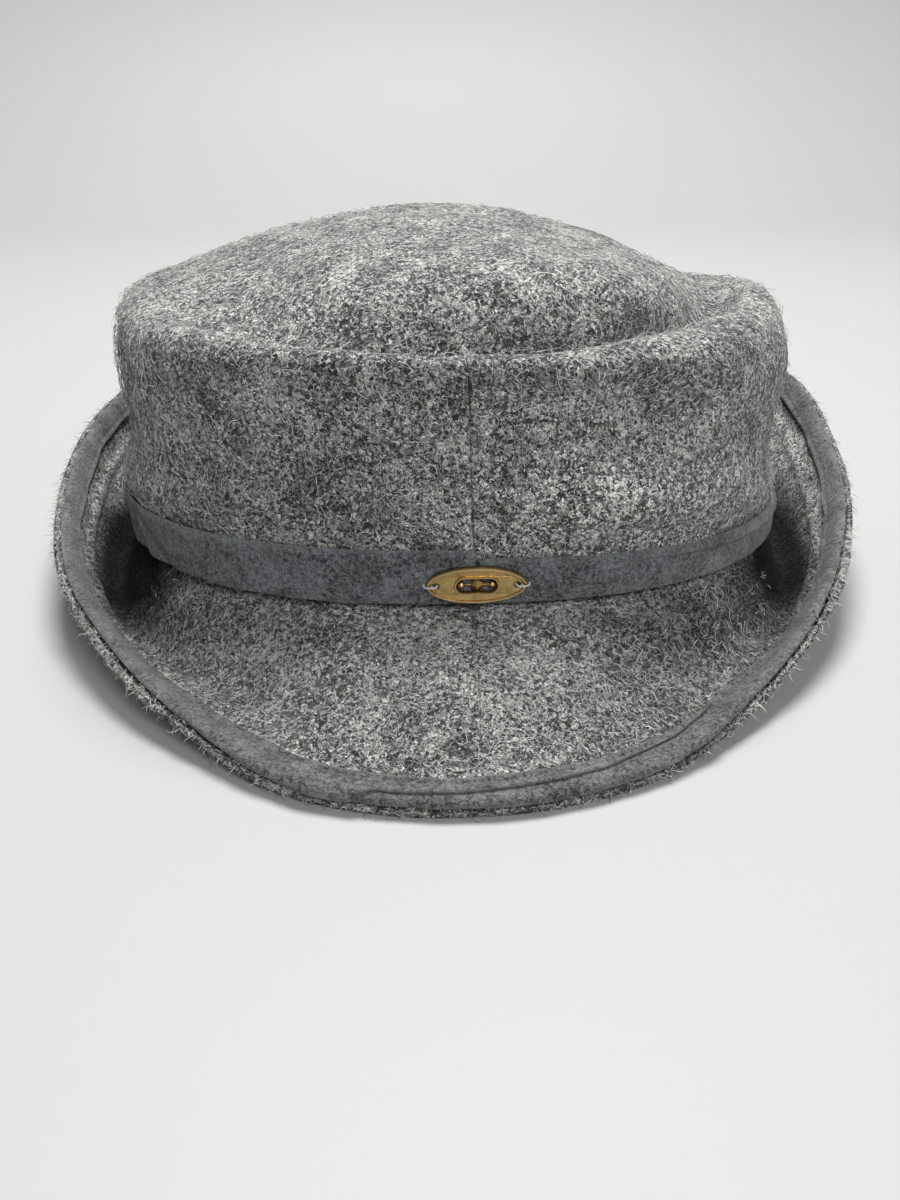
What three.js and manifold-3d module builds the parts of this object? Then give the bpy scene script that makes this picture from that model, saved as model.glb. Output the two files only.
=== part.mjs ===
// Soft sewn wool hat with a creased round crown, a brim that is turned down in front and
// up at the sides and back, a suede band, a suede edge trim and a small oval brass badge.
// Millimetres, +Z up. The hat lies on its brim at z = 0 with its front toward -Y.
// Azimuths are in degrees round the crown: 0 in front, 90 on the +X side, 180 behind.
import * as THREE from 'three';
import { mergeVertices } from 'three/addons/utils/BufferGeometryUtils.js';
import Module from 'manifold-3d';

const wasm = await Module();
wasm.setup();

// Head opening: the oval line where crown and brim are sewn together
const HEAD_WIDTH = 178;
const HEAD_LENGTH = 191;
const HEAD_OVAL = 2.4;
const HEADLINE_FRONT = 24.5;
const HEADLINE_BACK = 10.5;

// Crown
const CROWN_HEIGHT = 57;
const DOME_HEIGHT = 80;
const CROWN_WALL = 2.5;

// Brim of two plies
const BRIM_REACH = 50;
const TURN_UP = 46;
const BRIM_PLY = 1.4;
const BRIM_PRESS = 0.5;
const BRIM_SOFTNESS = 0.8;
const HEM_REACH = 1.7;
const HEM_RISE = 0.5;
const HEM_SWELL = 0.6;

// Suede trim along the brim's edge
const TRIM_WIDTH = 9;
const TRIM_THICKNESS = 1;
const TRIM_WRAP = 2.6;
const TRIM_UNDER_END_ANGLE = -14;
const TRIM_OVER_END_ANGLE = 24;
const TRIM_TAPER_ANGLE = 36;

// Suede hat band
const BAND_HEIGHT = 13.5;
const BAND_THICKNESS = 1.5;
const BAND_LIFT = 0.4;

// Oval badge and the thread at its two ends
const BADGE_LENGTH = 22.7;
const BADGE_HEIGHT = 8.9;
const BADGE_PLATE = 0.9;
const BADGE_RIM_WIDTH = 0.9;
const BADGE_RIM_RISE = 0.5;
const BADGE_HOLE = 1.5;
const BADGE_HOLE_SPACING = 18.2;
const WINDOW_LENGTH = 10.4;
const WINDOW_HEIGHT = 4.6;
const WINDOW_FRAME = 0.7;
const LOZENGE_LENGTH = 4.2;
const LOZENGE_HEIGHT = 3;
const LOZENGE_THICKNESS = 1.25;
const BEAD_DIAMETER = 1.7;
const BEAD_SPACING = 7;
const BEAD_THICKNESS = 1.1;
const BAR_HEIGHT = 0.6;
const BAR_THICKNESS = 0.7;
const THREAD_DIAMETER = 0.55;

// Clearance between pieces that touch
const GAP = 0.3;
const SEAM_GAP = 0.4;
const TRIM_GAP = 0.5;

// Turns, in degrees, and the fineness of the faceted shells
const FULL_TURN = 360;
const HALF_TURN = 180;
const STEPS = 48;
const STEP = FULL_TURN / STEPS;
const END_STEP_SHARE = 0.25;
const CROWN_SIDE_ROWS = 12;
const TIP_ROWS = 4;
const RIM_PARTS = 40;
const HALVINGS = 30;
const NUDGE = 0.01;
const MERGE = 0.003;
const BADGE_MERGE = 0.0003;

// Fineness of the badge's curves and of the thread
const OVAL_SEGMENTS = 20;
const FLOOR_SEGMENTS = 18;
const ROUND_SEGMENTS = 6;
const BAR_SEGMENTS = 3;
const THREAD_SEGMENTS = 5;
const THREAD_STEPS = 7;

const BRIM_STACK = 2 * BRIM_PLY + GAP;

// Stations count the points of a crown or brim section, from the headline outward
const WALL_TOP_STATION = 4.5;
const TIP_SEAM_STATION = 6.5;
const TIP_START_STATION = 7;
const DOME_STATION = 9;
const CROWN_CENTRE_STATION = 10;
const RIM_STATION = 5;
const BRIM_STATIONS = [0, 0.6, 1.2, 1.8, 2.3, 2.8, 3.4, 4, 4.5, RIM_STATION];

const toRadians = THREE.MathUtils.degToRad;
const lerp = THREE.MathUtils.lerp;

function table(columns, rows) {
  return rows.map((row) => Object.fromEntries(columns.map((name, i) => [name, row[i]])));
}

// Crown sections. Outs and ins are shares of half the head width, measured from the
// headline oval; ups are shares of CROWN_HEIGHT above the headline; ridgeIn is a share
// of the oval's radius and domeUp a share of DOME_HEIGHT.
const CROWN = table(
  ['azimuth', 'bulgeOut', 'bulgeUp', 'waistOut', 'waistUp', 'shoulderOut', 'shoulderUp',
    'rollOut', 'rollUp', 'lipIn', 'lipUp', 'creaseIn', 'creaseUp', 'ridgeIn', 'ridgeUp', 'domeUp'],
  [
    [0, 0.010, 0.36, 0.004, 0.58, 0.004, 0.82, -0.012, 0.95, 0.060, 0.965, 0.135, 0.800,
      0.27, 1.185, 1.00],
    [20, 0.030, 0.38, -0.006, 0.60, -0.014, 0.80, -0.028, 0.94, 0.125, 0.970, 0.190, 0.770,
      0.27, 1.180, 0.99],
    [42, 0.025, 0.30, 0.000, 0.50, -0.008, 0.78, -0.055, 0.96, 0.170, 0.995, 0.238, 0.820,
      0.31, 1.150, 0.97],
    [65, 0.000, 0.24, -0.030, 0.42, 0.004, 0.76, -0.040, 1.00, 0.125, 1.050, 0.222, 0.970,
      0.38, 1.140, 0.96],
    [90, -0.010, 0.20, -0.045, 0.36, -0.002, 0.74, -0.035, 1.00, 0.085, 1.060, 0.190, 1.045,
      0.42, 1.200, 0.96],
    [120, 0.010, 0.24, 0.000, 0.44, 0.015, 0.76, -0.045, 0.94, 0.110, 1.010, 0.210, 1.060,
      0.42, 1.240, 0.96],
    [180, 0.015, 0.30, 0.010, 0.50, 0.020, 0.78, -0.030, 0.95, 0.090, 1.010, 0.190, 1.070,
      0.42, 1.280, 0.97],
    [240, 0.025, 0.28, 0.000, 0.48, 0.020, 0.78, -0.020, 0.98, 0.085, 1.060, 0.190, 1.130,
      0.42, 1.310, 0.98],
    [270, 0.035, 0.24, -0.025, 0.47, 0.008, 0.76, -0.015, 1.02, 0.080, 1.110, 0.190, 1.170,
      0.42, 1.290, 0.98],
    [295, 0.028, 0.28, -0.010, 0.50, 0.010, 0.78, -0.008, 1.00, 0.075, 1.080, 0.180, 1.110,
      0.42, 1.230, 0.99],
    [320, 0.020, 0.32, 0.000, 0.54, 0.012, 0.80, -0.008, 0.975, 0.060, 1.02, 0.160, 0.970,
      0.37, 1.180, 1.00],
    [342, 0.012, 0.34, 0.004, 0.56, 0.006, 0.82, -0.010, 0.96, 0.055, 0.985, 0.145, 0.860,
      0.30, 1.185, 1.00],
  ],
);

// Brim sections. Outs are shares of BRIM_REACH from the headline oval; fallUp, nearUp and
// farUp are shares of the headline's height above the lying brim; riseUp and rimUp are
// shares of TURN_UP above the lying brim; hem, wrap and trim are shares of HEM_REACH,
// TRIM_WRAP and TRIM_WIDTH.
const BRIM = table(
  ['azimuth', 'fallOut', 'fallUp', 'nearOut', 'nearUp', 'farOut', 'farUp', 'riseOut', 'riseUp',
    'rimOut', 'rimUp', 'hem', 'wrap', 'trim'],
  [
    [0, 0.15, 0.82, 0.37, 0.60, 0.59, 0.33, 0.79, 0.045, 0.940, 0.004, 0.75, 0.25, 0.60],
    [15, 0.13, 0.76, 0.30, 0.49, 0.48, 0.23, 0.66, 0.030, 0.800, 0.016, 0.50, 0.40, 0.65],
    [30, 0.10, 0.66, 0.19, 0.34, 0.31, 0.15, 0.44, 0.060, 0.545, 0.120, 0.30, 0.45, 0.85],
    [45, 0.075, 0.58, 0.135, 0.20, 0.210, 0.045, 0.32, 0.105, 0.420, 0.250, 0.25, 0.45, 0.88],
    [60, 0.06, 0.50, 0.11, 0.11, 0.175, 0.00, 0.28, 0.165, 0.385, 0.375, 0.20, 0.55, 0.75],
    [75, 0.06, 0.45, 0.105, 0.04, 0.17, -0.030, 0.300, 0.215, 0.430, 0.480, 0.09, 0.80, 0.65],
    [90, 0.06, 0.43, 0.105, 0.02, 0.18, -0.040, 0.335, 0.280, 0.500, 0.600, 0.05, 1.00, 0.62],
    [110, 0.06, 0.43, 0.105, 0.02, 0.20, -0.030, 0.380, 0.420, 0.565, 0.830, 0.05, 1.00, 0.62],
    [145, 0.05, 0.48, 0.095, 0.03, 0.18, -0.040, 0.330, 0.450, 0.480, 0.960, 0.05, 1.00, 0.65],
    [180, 0.045, 0.50, 0.085, 0.04, 0.165, -0.040, 0.300, 0.460, 0.420, 1.00, 0.05, 1.00, 0.65],
    [215, 0.045, 0.48, 0.09, 0.03, 0.17, -0.040, 0.310, 0.430, 0.450, 0.910, 0.05, 1.00, 0.65],
    [250, 0.055, 0.43, 0.10, 0.02, 0.18, -0.040, 0.320, 0.300, 0.440, 0.640, 0.05, 1.00, 0.62],
    [270, 0.06, 0.43, 0.105, 0.02, 0.175, -0.040, 0.300, 0.230, 0.405, 0.520, 0.05, 1.00, 0.62],
    [285, 0.06, 0.45, 0.105, 0.04, 0.165, -0.030, 0.285, 0.190, 0.385, 0.435, 0.08, 0.82, 0.65],
    [300, 0.06, 0.50, 0.11, 0.12, 0.175, 0.00, 0.29, 0.150, 0.410, 0.345, 0.34, 0.36, 0.75],
    [315, 0.075, 0.58, 0.135, 0.20, 0.215, 0.045, 0.335, 0.100, 0.470, 0.245, 0.80, 0.15, 0.88],
    [330, 0.10, 0.66, 0.19, 0.34, 0.32, 0.15, 0.49, 0.060, 0.635, 0.120, 1.00, 0.12, 0.85],
    [345, 0.13, 0.76, 0.31, 0.50, 0.52, 0.25, 0.72, 0.030, 0.870, 0.016, 0.95, 0.20, 0.65],
  ],
);

// Band heights as shares of BAND_HEIGHT and its puff as shares of BAND_THICKNESS, from the
// end on the +X side round the back to the end on the -X side
const BAND = table(
  ['azimuth', 'top', 'puff'],
  [
    [0, 0.84, 1.00],
    [30, 0.76, 0.90],
    [60, 0.70, 0.80],
    [100, 0.74, 0.80],
    [180, 0.85, 0.85],
    [260, 0.90, 0.85],
    [300, 0.96, 0.95],
    [330, 1.00, 1.05],
    [FULL_TURN, 0.99, 1.05],
  ],
);

// The band across its height, from its lower edge: shares of its height and thickness
const BAND_ROWS = table(
  ['across', 'thick'],
  [
    [0, 0.5],
    [0.08, 0.9],
    [0.4, 1],
    [0.75, 0.95],
    [0.95, 0.8],
    [1, 0.4],
  ],
);

// The trim across its width, from its inner edge: shares of its width and thickness
const TRIM_ROWS = table(
  ['across', 'thick'],
  [
    [1, 0.5],
    [0.85, 1],
    [0.4, 1],
    [0, 1],
  ],
);

// The tapered end reaches in to this share of the trim's width. Where the trim goes round
// the brim's edge: shares of its lift on the inner face and of its lift and thickness on the
// outer face at the corner, then of its thickness at the outer end and at the tapered edge.
const TRIM_TAPER_SHARE = 0.8;
const CORNER_INNER = 0.7;
const CORNER_OUTER = 0.75;
const TRIM_END_THICK = 0.6;
const TRIM_EDGE_THICK = 0.5;

// The lower bulge of the crown starts at these shares of its reach and its height, and
// the dome's middle at this share of the oval's radius
const BULGE_START_OUT = 0.3;
const BULGE_START_UP = 0.6;
const DOME_MIDDLE = 0.28;

function hermite(y0, y1, m0, m1, width, f) {
  const f2 = f * f;
  const f3 = f2 * f;
  const values = (2 * f3 - 3 * f2 + 1) * y0 + (3 * f2 - 2 * f3) * y1;
  const slopes = (f3 - 2 * f2 + f) * m0 + (f3 - f2) * m1;
  return values + slopes * width;
}

// Smooth value of one column at an azimuth, going round and round
function around(rows, column, azimuth) {
  const turn = ((azimuth % FULL_TURN) + FULL_TURN) % FULL_TURN;
  const count = rows.length;
  const row = (i) => rows[((i % count) + count) % count];
  const at = (i) => row(i).azimuth + FULL_TURN * Math.floor(i / count);
  const value = (i) => row(i)[column];
  const slope = (i) => (value(i + 1) - value(i - 1)) / (at(i + 1) - at(i - 1));
  let i = count - 1;
  while (at(i) > turn) {
    i -= 1;
  }
  const width = at(i + 1) - at(i);
  return hermite(value(i), value(i + 1), slope(i), slope(i + 1), width, (turn - at(i)) / width);
}

// Value of one column along a strip with two ends
function along(rows, column, azimuth) {
  let i = 0;
  while (i < rows.length - 2 && rows[i + 1].azimuth < azimuth) {
    i += 1;
  }
  const f = (azimuth - rows[i].azimuth) / (rows[i + 1].azimuth - rows[i].azimuth);
  return lerp(rows[i][column], rows[i + 1][column], f);
}

function headRadius(azimuth) {
  const across = Math.abs(Math.sin(toRadians(azimuth))) / (HEAD_WIDTH / 2);
  const ahead = Math.abs(Math.cos(toRadians(azimuth))) / (HEAD_LENGTH / 2);
  return (across ** HEAD_OVAL + ahead ** HEAD_OVAL) ** (-1 / HEAD_OVAL);
}

function headHeight(azimuth) {
  const forward = Math.cos(toRadians(azimuth)) * headRadius(azimuth);
  const middle = (HEADLINE_FRONT + HEADLINE_BACK) / 2;
  return middle + ((HEADLINE_FRONT - HEADLINE_BACK) * forward) / HEAD_LENGTH;
}

// The brim is pressed flat where it meets the surface that the hat lies on
function resting(height) {
  const floor = BRIM_STACK - BRIM_PRESS;
  const above = height - floor;
  if (above > BRIM_SOFTNESS) {
    return height;
  }
  return floor + Math.max(above + BRIM_SOFTNESS, 0) ** 2 / (4 * BRIM_SOFTNESS);
}

// A smooth profile through points [radius, height], one unit of station per point
function profile(points, station) {
  const last = points.length - 1;
  const point = (i) => {
    if (i < 0) {
      return points[0].map((v, k) => 2 * v - points[1][k]);
    }
    if (i > last) {
      return points[last].map((v, k) => 2 * v - points[last - 1][k]);
    }
    return points[i];
  };
  const i = Math.min(Math.max(Math.floor(station), 0), last - 1);
  const f = station - i;
  const [a, b, c, d] = [point(i - 1), point(i), point(i + 1), point(i + 2)];
  return [0, 1].map((k) => hermite(b[k], c[k], (c[k] - a[k]) / 2, (d[k] - b[k]) / 2, 1, f));
}

function place(azimuth, [radius, height]) {
  const angle = toRadians(azimuth);
  return new THREE.Vector3(Math.sin(angle) * radius, -Math.cos(angle) * radius, height);
}

function crownPoints(azimuth) {
  const r = headRadius(azimuth);
  const z = headHeight(azimuth);
  const middle = (HEADLINE_FRONT + HEADLINE_BACK) / 2;
  const share = (column) => around(CROWN, column, azimuth);
  const out = (column) => (HEAD_WIDTH / 2) * share(column);
  const up = (column) => CROWN_HEIGHT * share(column);
  return [
    [r, z],
    [r + out('bulgeOut') * BULGE_START_OUT, z + up('bulgeUp') * BULGE_START_UP],
    [r + out('bulgeOut'), z + up('bulgeUp')],
    [r + out('waistOut'), z + up('waistUp')],
    [r + out('shoulderOut'), z + up('shoulderUp')],
    [r + out('rollOut'), z + up('rollUp')],
    [r - out('lipIn'), z + up('lipUp')],
    [r - out('creaseIn'), z + up('creaseUp')],
    [r * (1 - share('ridgeIn')), z + up('ridgeUp')],
    [r * DOME_MIDDLE, middle + DOME_HEIGHT * share('domeUp')],
    [0, middle + DOME_HEIGHT],
  ];
}

function brimPoints(azimuth) {
  const r = headRadius(azimuth);
  const z = headHeight(azimuth);
  const share = (column) => around(BRIM, column, azimuth);
  const out = (column) => r + BRIM_REACH * share(column);
  const up = (column) => BRIM_STACK + (z - BRIM_STACK) * share(column);
  const turned = (column) => BRIM_STACK + (TURN_UP - BRIM_STACK) * share(column);
  return [
    [r - CROWN_WALL, z - GAP],
    [out('fallOut'), up('fallUp')],
    [out('nearOut'), up('nearUp')],
    [out('farOut'), up('farUp')],
    [out('riseOut'), turned('riseUp')],
    [out('rimOut'), turned('rimUp')],
  ];
}

// A surface gives its point, its outward or upward normal and its run at any place
function surface(section, side, lastStation) {
  const at = (azimuth, station) => place(azimuth, section(azimuth, station));
  const run = (azimuth, station) => {
    const ahead = Math.min(station + NUDGE, lastStation);
    const behind = Math.max(ahead - 2 * NUDGE, 0);
    const rise = at(azimuth, ahead).sub(at(azimuth, behind));
    return rise.divideScalar(ahead - behind);
  };
  const normal = (azimuth, station) => {
    const inside = Math.min(station, lastStation - NUDGE);
    const turn = at(azimuth + NUDGE, inside).sub(at(azimuth - NUDGE, inside));
    return turn.cross(run(azimuth, inside)).multiplyScalar(side).normalize();
  };
  const lifted = (azimuth, station, offset) =>
    at(azimuth, station).addScaledVector(normal(azimuth, station), offset);
  return { at, run, normal, lifted };
}

function crownSection(azimuth, station) {
  return profile(crownPoints(azimuth), station);
}

function brimSection(azimuth, station) {
  const [radius, height] = profile(brimPoints(azimuth), station);
  return [radius, resting(height)];
}

const crown = surface(crownSection, 1, CROWN_CENTRE_STATION);
const brim = surface(brimSection, -1, RIM_STATION);

// Azimuths of a strip with two ends, which share the rings' steps in between
function azimuths(from, to) {
  const list = [from];
  const last = to / STEP - END_STEP_SHARE;
  for (let i = Math.ceil(from / STEP + END_STEP_SHARE); i <= last; i += 1) {
    list.push(i * STEP);
  }
  list.push(to);
  return list;
}

function onStep(azimuth) {
  return Math.round(azimuth / STEP) * STEP;
}

function ringAzimuths() {
  return Array.from({ length: STEPS }, (_, i) => i * STEP);
}

function stations(from, to, count) {
  return Array.from({ length: count + 1 }, (_, i) => lerp(from, to, i / count));
}

// One closed solid through sections that each hold a front row and a back row of points
function solid(sections, closed) {
  const size = sections[0].front.length;
  const positions = [];
  for (const section of sections) {
    for (const p of [...section.front, ...section.back]) {
      positions.push(p.x, p.y, p.z);
    }
  }
  const front = (i, k) => (i % sections.length) * 2 * size + k;
  const back = (i, k) => front(i, k) + size;
  const index = [];
  const quad = (a, b, c, d) => index.push(a, b, c, a, c, d);
  const spans = closed ? sections.length : sections.length - 1;
  for (let i = 0; i < spans; i += 1) {
    for (let k = 0; k < size - 1; k += 1) {
      quad(front(i, k), front(i + 1, k), front(i + 1, k + 1), front(i, k + 1));
      quad(back(i, k), back(i, k + 1), back(i + 1, k + 1), back(i + 1, k));
    }
    quad(front(i, 0), back(i, 0), back(i + 1, 0), front(i + 1, 0));
    const e = size - 1;
    quad(front(i, e), front(i + 1, e), back(i + 1, e), back(i, e));
  }
  if (!closed) {
    const z = sections.length - 1;
    for (let k = 0; k < size - 1; k += 1) {
      quad(front(0, k), front(0, k + 1), back(0, k + 1), back(0, k));
      quad(front(z, k), back(z, k), back(z, k + 1), front(z, k + 1));
    }
  }
  const raw = new THREE.BufferGeometry();
  raw.setAttribute('position', new THREE.Float32BufferAttribute(positions, 3));
  raw.setIndex(index);
  return facedOut(withoutSlivers(mergeVertices(raw, MERGE)));
}

function withoutSlivers(geometry) {
  const index = geometry.index.array;
  const kept = [];
  for (let i = 0; i < index.length; i += 3) {
    const [a, b, c] = [index[i], index[i + 1], index[i + 2]];
    if (a !== b && b !== c && c !== a) {
      kept.push(a, b, c);
    }
  }
  geometry.setIndex(kept);
  return geometry;
}

function signedVolume(geometry) {
  const position = geometry.attributes.position;
  const index = geometry.index.array;
  const [a, b, c] = [new THREE.Vector3(), new THREE.Vector3(), new THREE.Vector3()];
  let volume = 0;
  for (let i = 0; i < index.length; i += 3) {
    a.fromBufferAttribute(position, index[i]);
    b.fromBufferAttribute(position, index[i + 1]);
    c.fromBufferAttribute(position, index[i + 2]);
    volume += a.dot(b.cross(c)) / 6;
  }
  return volume;
}

function facedOut(geometry) {
  if (signedVolume(geometry) < 0) {
    const index = Array.from(geometry.index.array);
    for (let i = 0; i < index.length; i += 3) {
      [index[i], index[i + 1]] = [index[i + 1], index[i]];
    }
    geometry.setIndex(index);
  }
  geometry.computeVertexNormals();
  return geometry;
}

// Half of a sewn seam's gap, as an angle at the headline
const SEAM_ANGLE = THREE.MathUtils.radToDeg(GAP / HEAD_LENGTH);

// Half of the crown's side wall, from the headline up over the roll and the lip
function crownSideGeometry(from, to) {
  const rows = stations(0, TIP_SEAM_STATION, CROWN_SIDE_ROWS);
  const sections = azimuths(from + SEAM_ANGLE, to - SEAM_ANGLE).map((azimuth) => ({
    front: rows.map((s) => crown.at(azimuth, s)),
    back: rows.map((s) => crown.lifted(azimuth, s, -CROWN_WALL)),
  }));
  return solid(sections, false);
}

// The oval tip, sewn in behind the lip, where it falls into the dent before the dome
function crownTipGeometry() {
  const sections = ringAzimuths().map((azimuth) => {
    const start = TIP_SEAM_STATION + SEAM_GAP / crown.run(azimuth, TIP_SEAM_STATION).length();
    const middle = stations(TIP_START_STATION, DOME_STATION, TIP_ROWS);
    const rows = [start, ...middle, CROWN_CENTRE_STATION];
    return {
      front: rows.map((s) => crown.at(azimuth, s)),
      back: rows.map((s) => tipInside(azimuth, s)),
    };
  });
  return solid(sections, true);
}

function tipInside(azimuth, station) {
  if (station < CROWN_CENTRE_STATION) {
    return crown.lifted(azimuth, station, -CROWN_WALL);
  }
  const centre = crown.at(azimuth, station);
  return centre.setZ(centre.z - CROWN_WALL);
}

// Half of the brim's upper ply
function brimTopGeometry(from, to) {
  const sections = azimuths(from + SEAM_ANGLE, to - SEAM_ANGLE).map((azimuth) => ({
    front: BRIM_STATIONS.map((s) => brim.at(azimuth, s)),
    back: BRIM_STATIONS.map((s) => brim.lifted(azimuth, s, -BRIM_PLY)),
  }));
  return solid(sections, false);
}

// Felt is pressed flat where it meets the surface that the hat lies on
function pressed(point) {
  return point.setZ(Math.max(point.z, 0));
}

// The brim's under ply in one piece, with a rolled hem that stands out past the upper ply
function brimUnderGeometry() {
  const sections = ringAzimuths().map((azimuth) => {
    const top = -(BRIM_PLY + GAP);
    const share = around(BRIM, 'hem', azimuth);
    const reach = HEM_REACH * share;
    const outward = brim.run(azimuth, RIM_STATION).normalize();
    const hem = (distance, offset) =>
      brim.lifted(azimuth, RIM_STATION, offset).addScaledVector(outward, distance);
    const front = BRIM_STATIONS.map((s) => brim.lifted(azimuth, s, top));
    front.push(hem(reach * HEM_SWELL, top + HEM_RISE * share));
    front.push(hem(reach, top - BRIM_PLY / 4));
    const back = BRIM_STATIONS.map((s) => brim.lifted(azimuth, s, -BRIM_STACK));
    back.push(hem(reach * HEM_SWELL, -BRIM_STACK));
    back.push(hem(reach, BRIM_PLY / 4 - BRIM_STACK));
    return { front, back: back.map(pressed) };
  });
  return solid(sections, true);
}

// Station of the brim that lies a given distance in from the rim
function stationFromRim(azimuth, distance) {
  let station = RIM_STATION;
  let left = distance;
  while (left > 0) {
    const length = brim.run(azimuth, station).length() / RIM_PARTS;
    station -= Math.min(1, left / length) / RIM_PARTS;
    left -= length;
  }
  return station;
}

// The trim is one strip whose two ends overlap in front, the later end on top and tapered.
// Its outer edge goes round the brim's edge, but not where it tapers.
function trimGeometry() {
  const end = FULL_TURN + TRIM_OVER_END_ANGLE;
  const taperStart = end - TRIM_TAPER_ANGLE;
  const climbStart = FULL_TURN + TRIM_UNDER_END_ANGLE - 2 * STEP;
  const sections = azimuths(onStep(TRIM_UNDER_END_ANGLE), onStep(end)).map((azimuth) => {
    const taper = THREE.MathUtils.clamp((azimuth - taperStart) / TRIM_TAPER_ANGLE, 0, 1);
    const climb = THREE.MathUtils.clamp((azimuth - climbStart) / STEP, 0, 1);
    const lift = TRIM_GAP + climb * (TRIM_THICKNESS + TRIM_GAP);
    return trimSection(azimuth, taper, lift);
  });
  return solid(sections, false);
}

function trimSection(azimuth, taper, lift) {
  const width = TRIM_WIDTH * around(BRIM, 'trim', azimuth);
  const edge = width * TRIM_TAPER_SHARE * taper;
  const rows = TRIM_ROWS.map((row) => stationFromRim(azimuth, lerp(edge, width, row.across)));
  const thick = TRIM_ROWS.map((row) => TRIM_THICKNESS * row.thick);
  if (taper > 0) {
    rows.push(rows.at(-1), rows.at(-1));
    thick.fill(TRIM_EDGE_THICK * TRIM_THICKNESS, TRIM_ROWS.length - 1);
    thick.push(thick.at(-1), thick.at(-1));
  }
  const front = rows.map((s, k) => brim.lifted(azimuth, s, lift + thick[k]));
  const back = rows.map((s) => brim.lifted(azimuth, s, lift));
  if (taper > 0) {
    return { front, back };
  }
  const rim = brim.at(azimuth, RIM_STATION);
  const outward = brim.run(azimuth, RIM_STATION).normalize();
  const upward = brim.normal(azimuth, RIM_STATION);
  const beside = (out, up) => rim.clone().addScaledVector(outward, out).addScaledVector(upward, up);
  const wrap = TRIM_WRAP * around(BRIM, 'wrap', azimuth);
  const inner = CORNER_INNER * lift;
  const outer = CORNER_OUTER * (lift + TRIM_THICKNESS);
  front.push(beside(outer, outer), beside(lift + TRIM_END_THICK * TRIM_THICKNESS, -wrap));
  back.push(beside(inner, inner), beside(lift, -wrap));
  return { front, back };
}

// Station of the crown wall at a given height above the headline
function stationAbove(azimuth, height) {
  const points = crownPoints(azimuth);
  const goal = points[0][1] + height;
  let low = 0;
  let high = WALL_TOP_STATION;
  for (let i = 0; i < HALVINGS; i += 1) {
    const middle = (low + high) / 2;
    if (profile(points, middle)[1] < goal) {
      low = middle;
    } else {
      high = middle;
    }
  }
  return low;
}

// A soft folded strip round the foot of the crown, its ends butted in front
function bandGeometry() {
  const sections = azimuths(2 * SEAM_ANGLE, FULL_TURN - 2 * SEAM_ANGLE).map((azimuth) => {
    const top = BAND_HEIGHT * along(BAND, 'top', azimuth);
    const puff = BAND_THICKNESS * along(BAND, 'puff', azimuth);
    const rows = BAND_ROWS.map((row) => stationAbove(azimuth, lerp(BAND_LIFT, top, row.across)));
    return {
      front: rows.map((s, k) => crown.lifted(azimuth, s, GAP + puff * BAND_ROWS[k].thick)),
      back: rows.map((s) => crown.lifted(azimuth, s, GAP)),
    };
  });
  return solid(sections, false);
}

// Badge pieces are drawn flat, x along the band, y up and z out, and then bent onto it
function toManifold(geometry) {
  const bare = geometry.clone();
  bare.deleteAttribute('normal');
  bare.deleteAttribute('uv');
  const merged = mergeVertices(bare, BADGE_MERGE);
  const vertProperties = Float32Array.from(merged.attributes.position.array);
  const triVerts = Uint32Array.from(merged.index.array);
  return new wasm.Manifold(new wasm.Mesh({ numProp: 3, vertProperties, triVerts }));
}

function fromManifold(manifold) {
  const mesh = manifold.getMesh();
  const geometry = new THREE.BufferGeometry();
  geometry.setAttribute('position', new THREE.Float32BufferAttribute(mesh.vertProperties, 3));
  geometry.setIndex(Array.from(mesh.triVerts));
  return geometry;
}

function ellipsePath(length, height) {
  return new THREE.Shape().absellipse(0, 0, length / 2, height / 2, 0, 2 * Math.PI, false, 0);
}

function stadiumPath(length, height) {
  const r = height / 2;
  const reach = length / 2 - r;
  const shape = new THREE.Shape();
  shape.moveTo(-reach, -r);
  shape.lineTo(0, -r);
  shape.lineTo(reach, -r);
  shape.absarc(reach, 0, r, -Math.PI / 2, Math.PI / 2, false);
  shape.lineTo(0, r);
  shape.lineTo(-reach, r);
  shape.absarc(-reach, 0, r, Math.PI / 2, (3 * Math.PI) / 2, false);
  return shape;
}

function slab(shape, from, to, curveSegments) {
  const options = { depth: to - from, bevelEnabled: false, curveSegments };
  return toManifold(new THREE.ExtrudeGeometry(shape, options).translate(0, 0, from));
}

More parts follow.
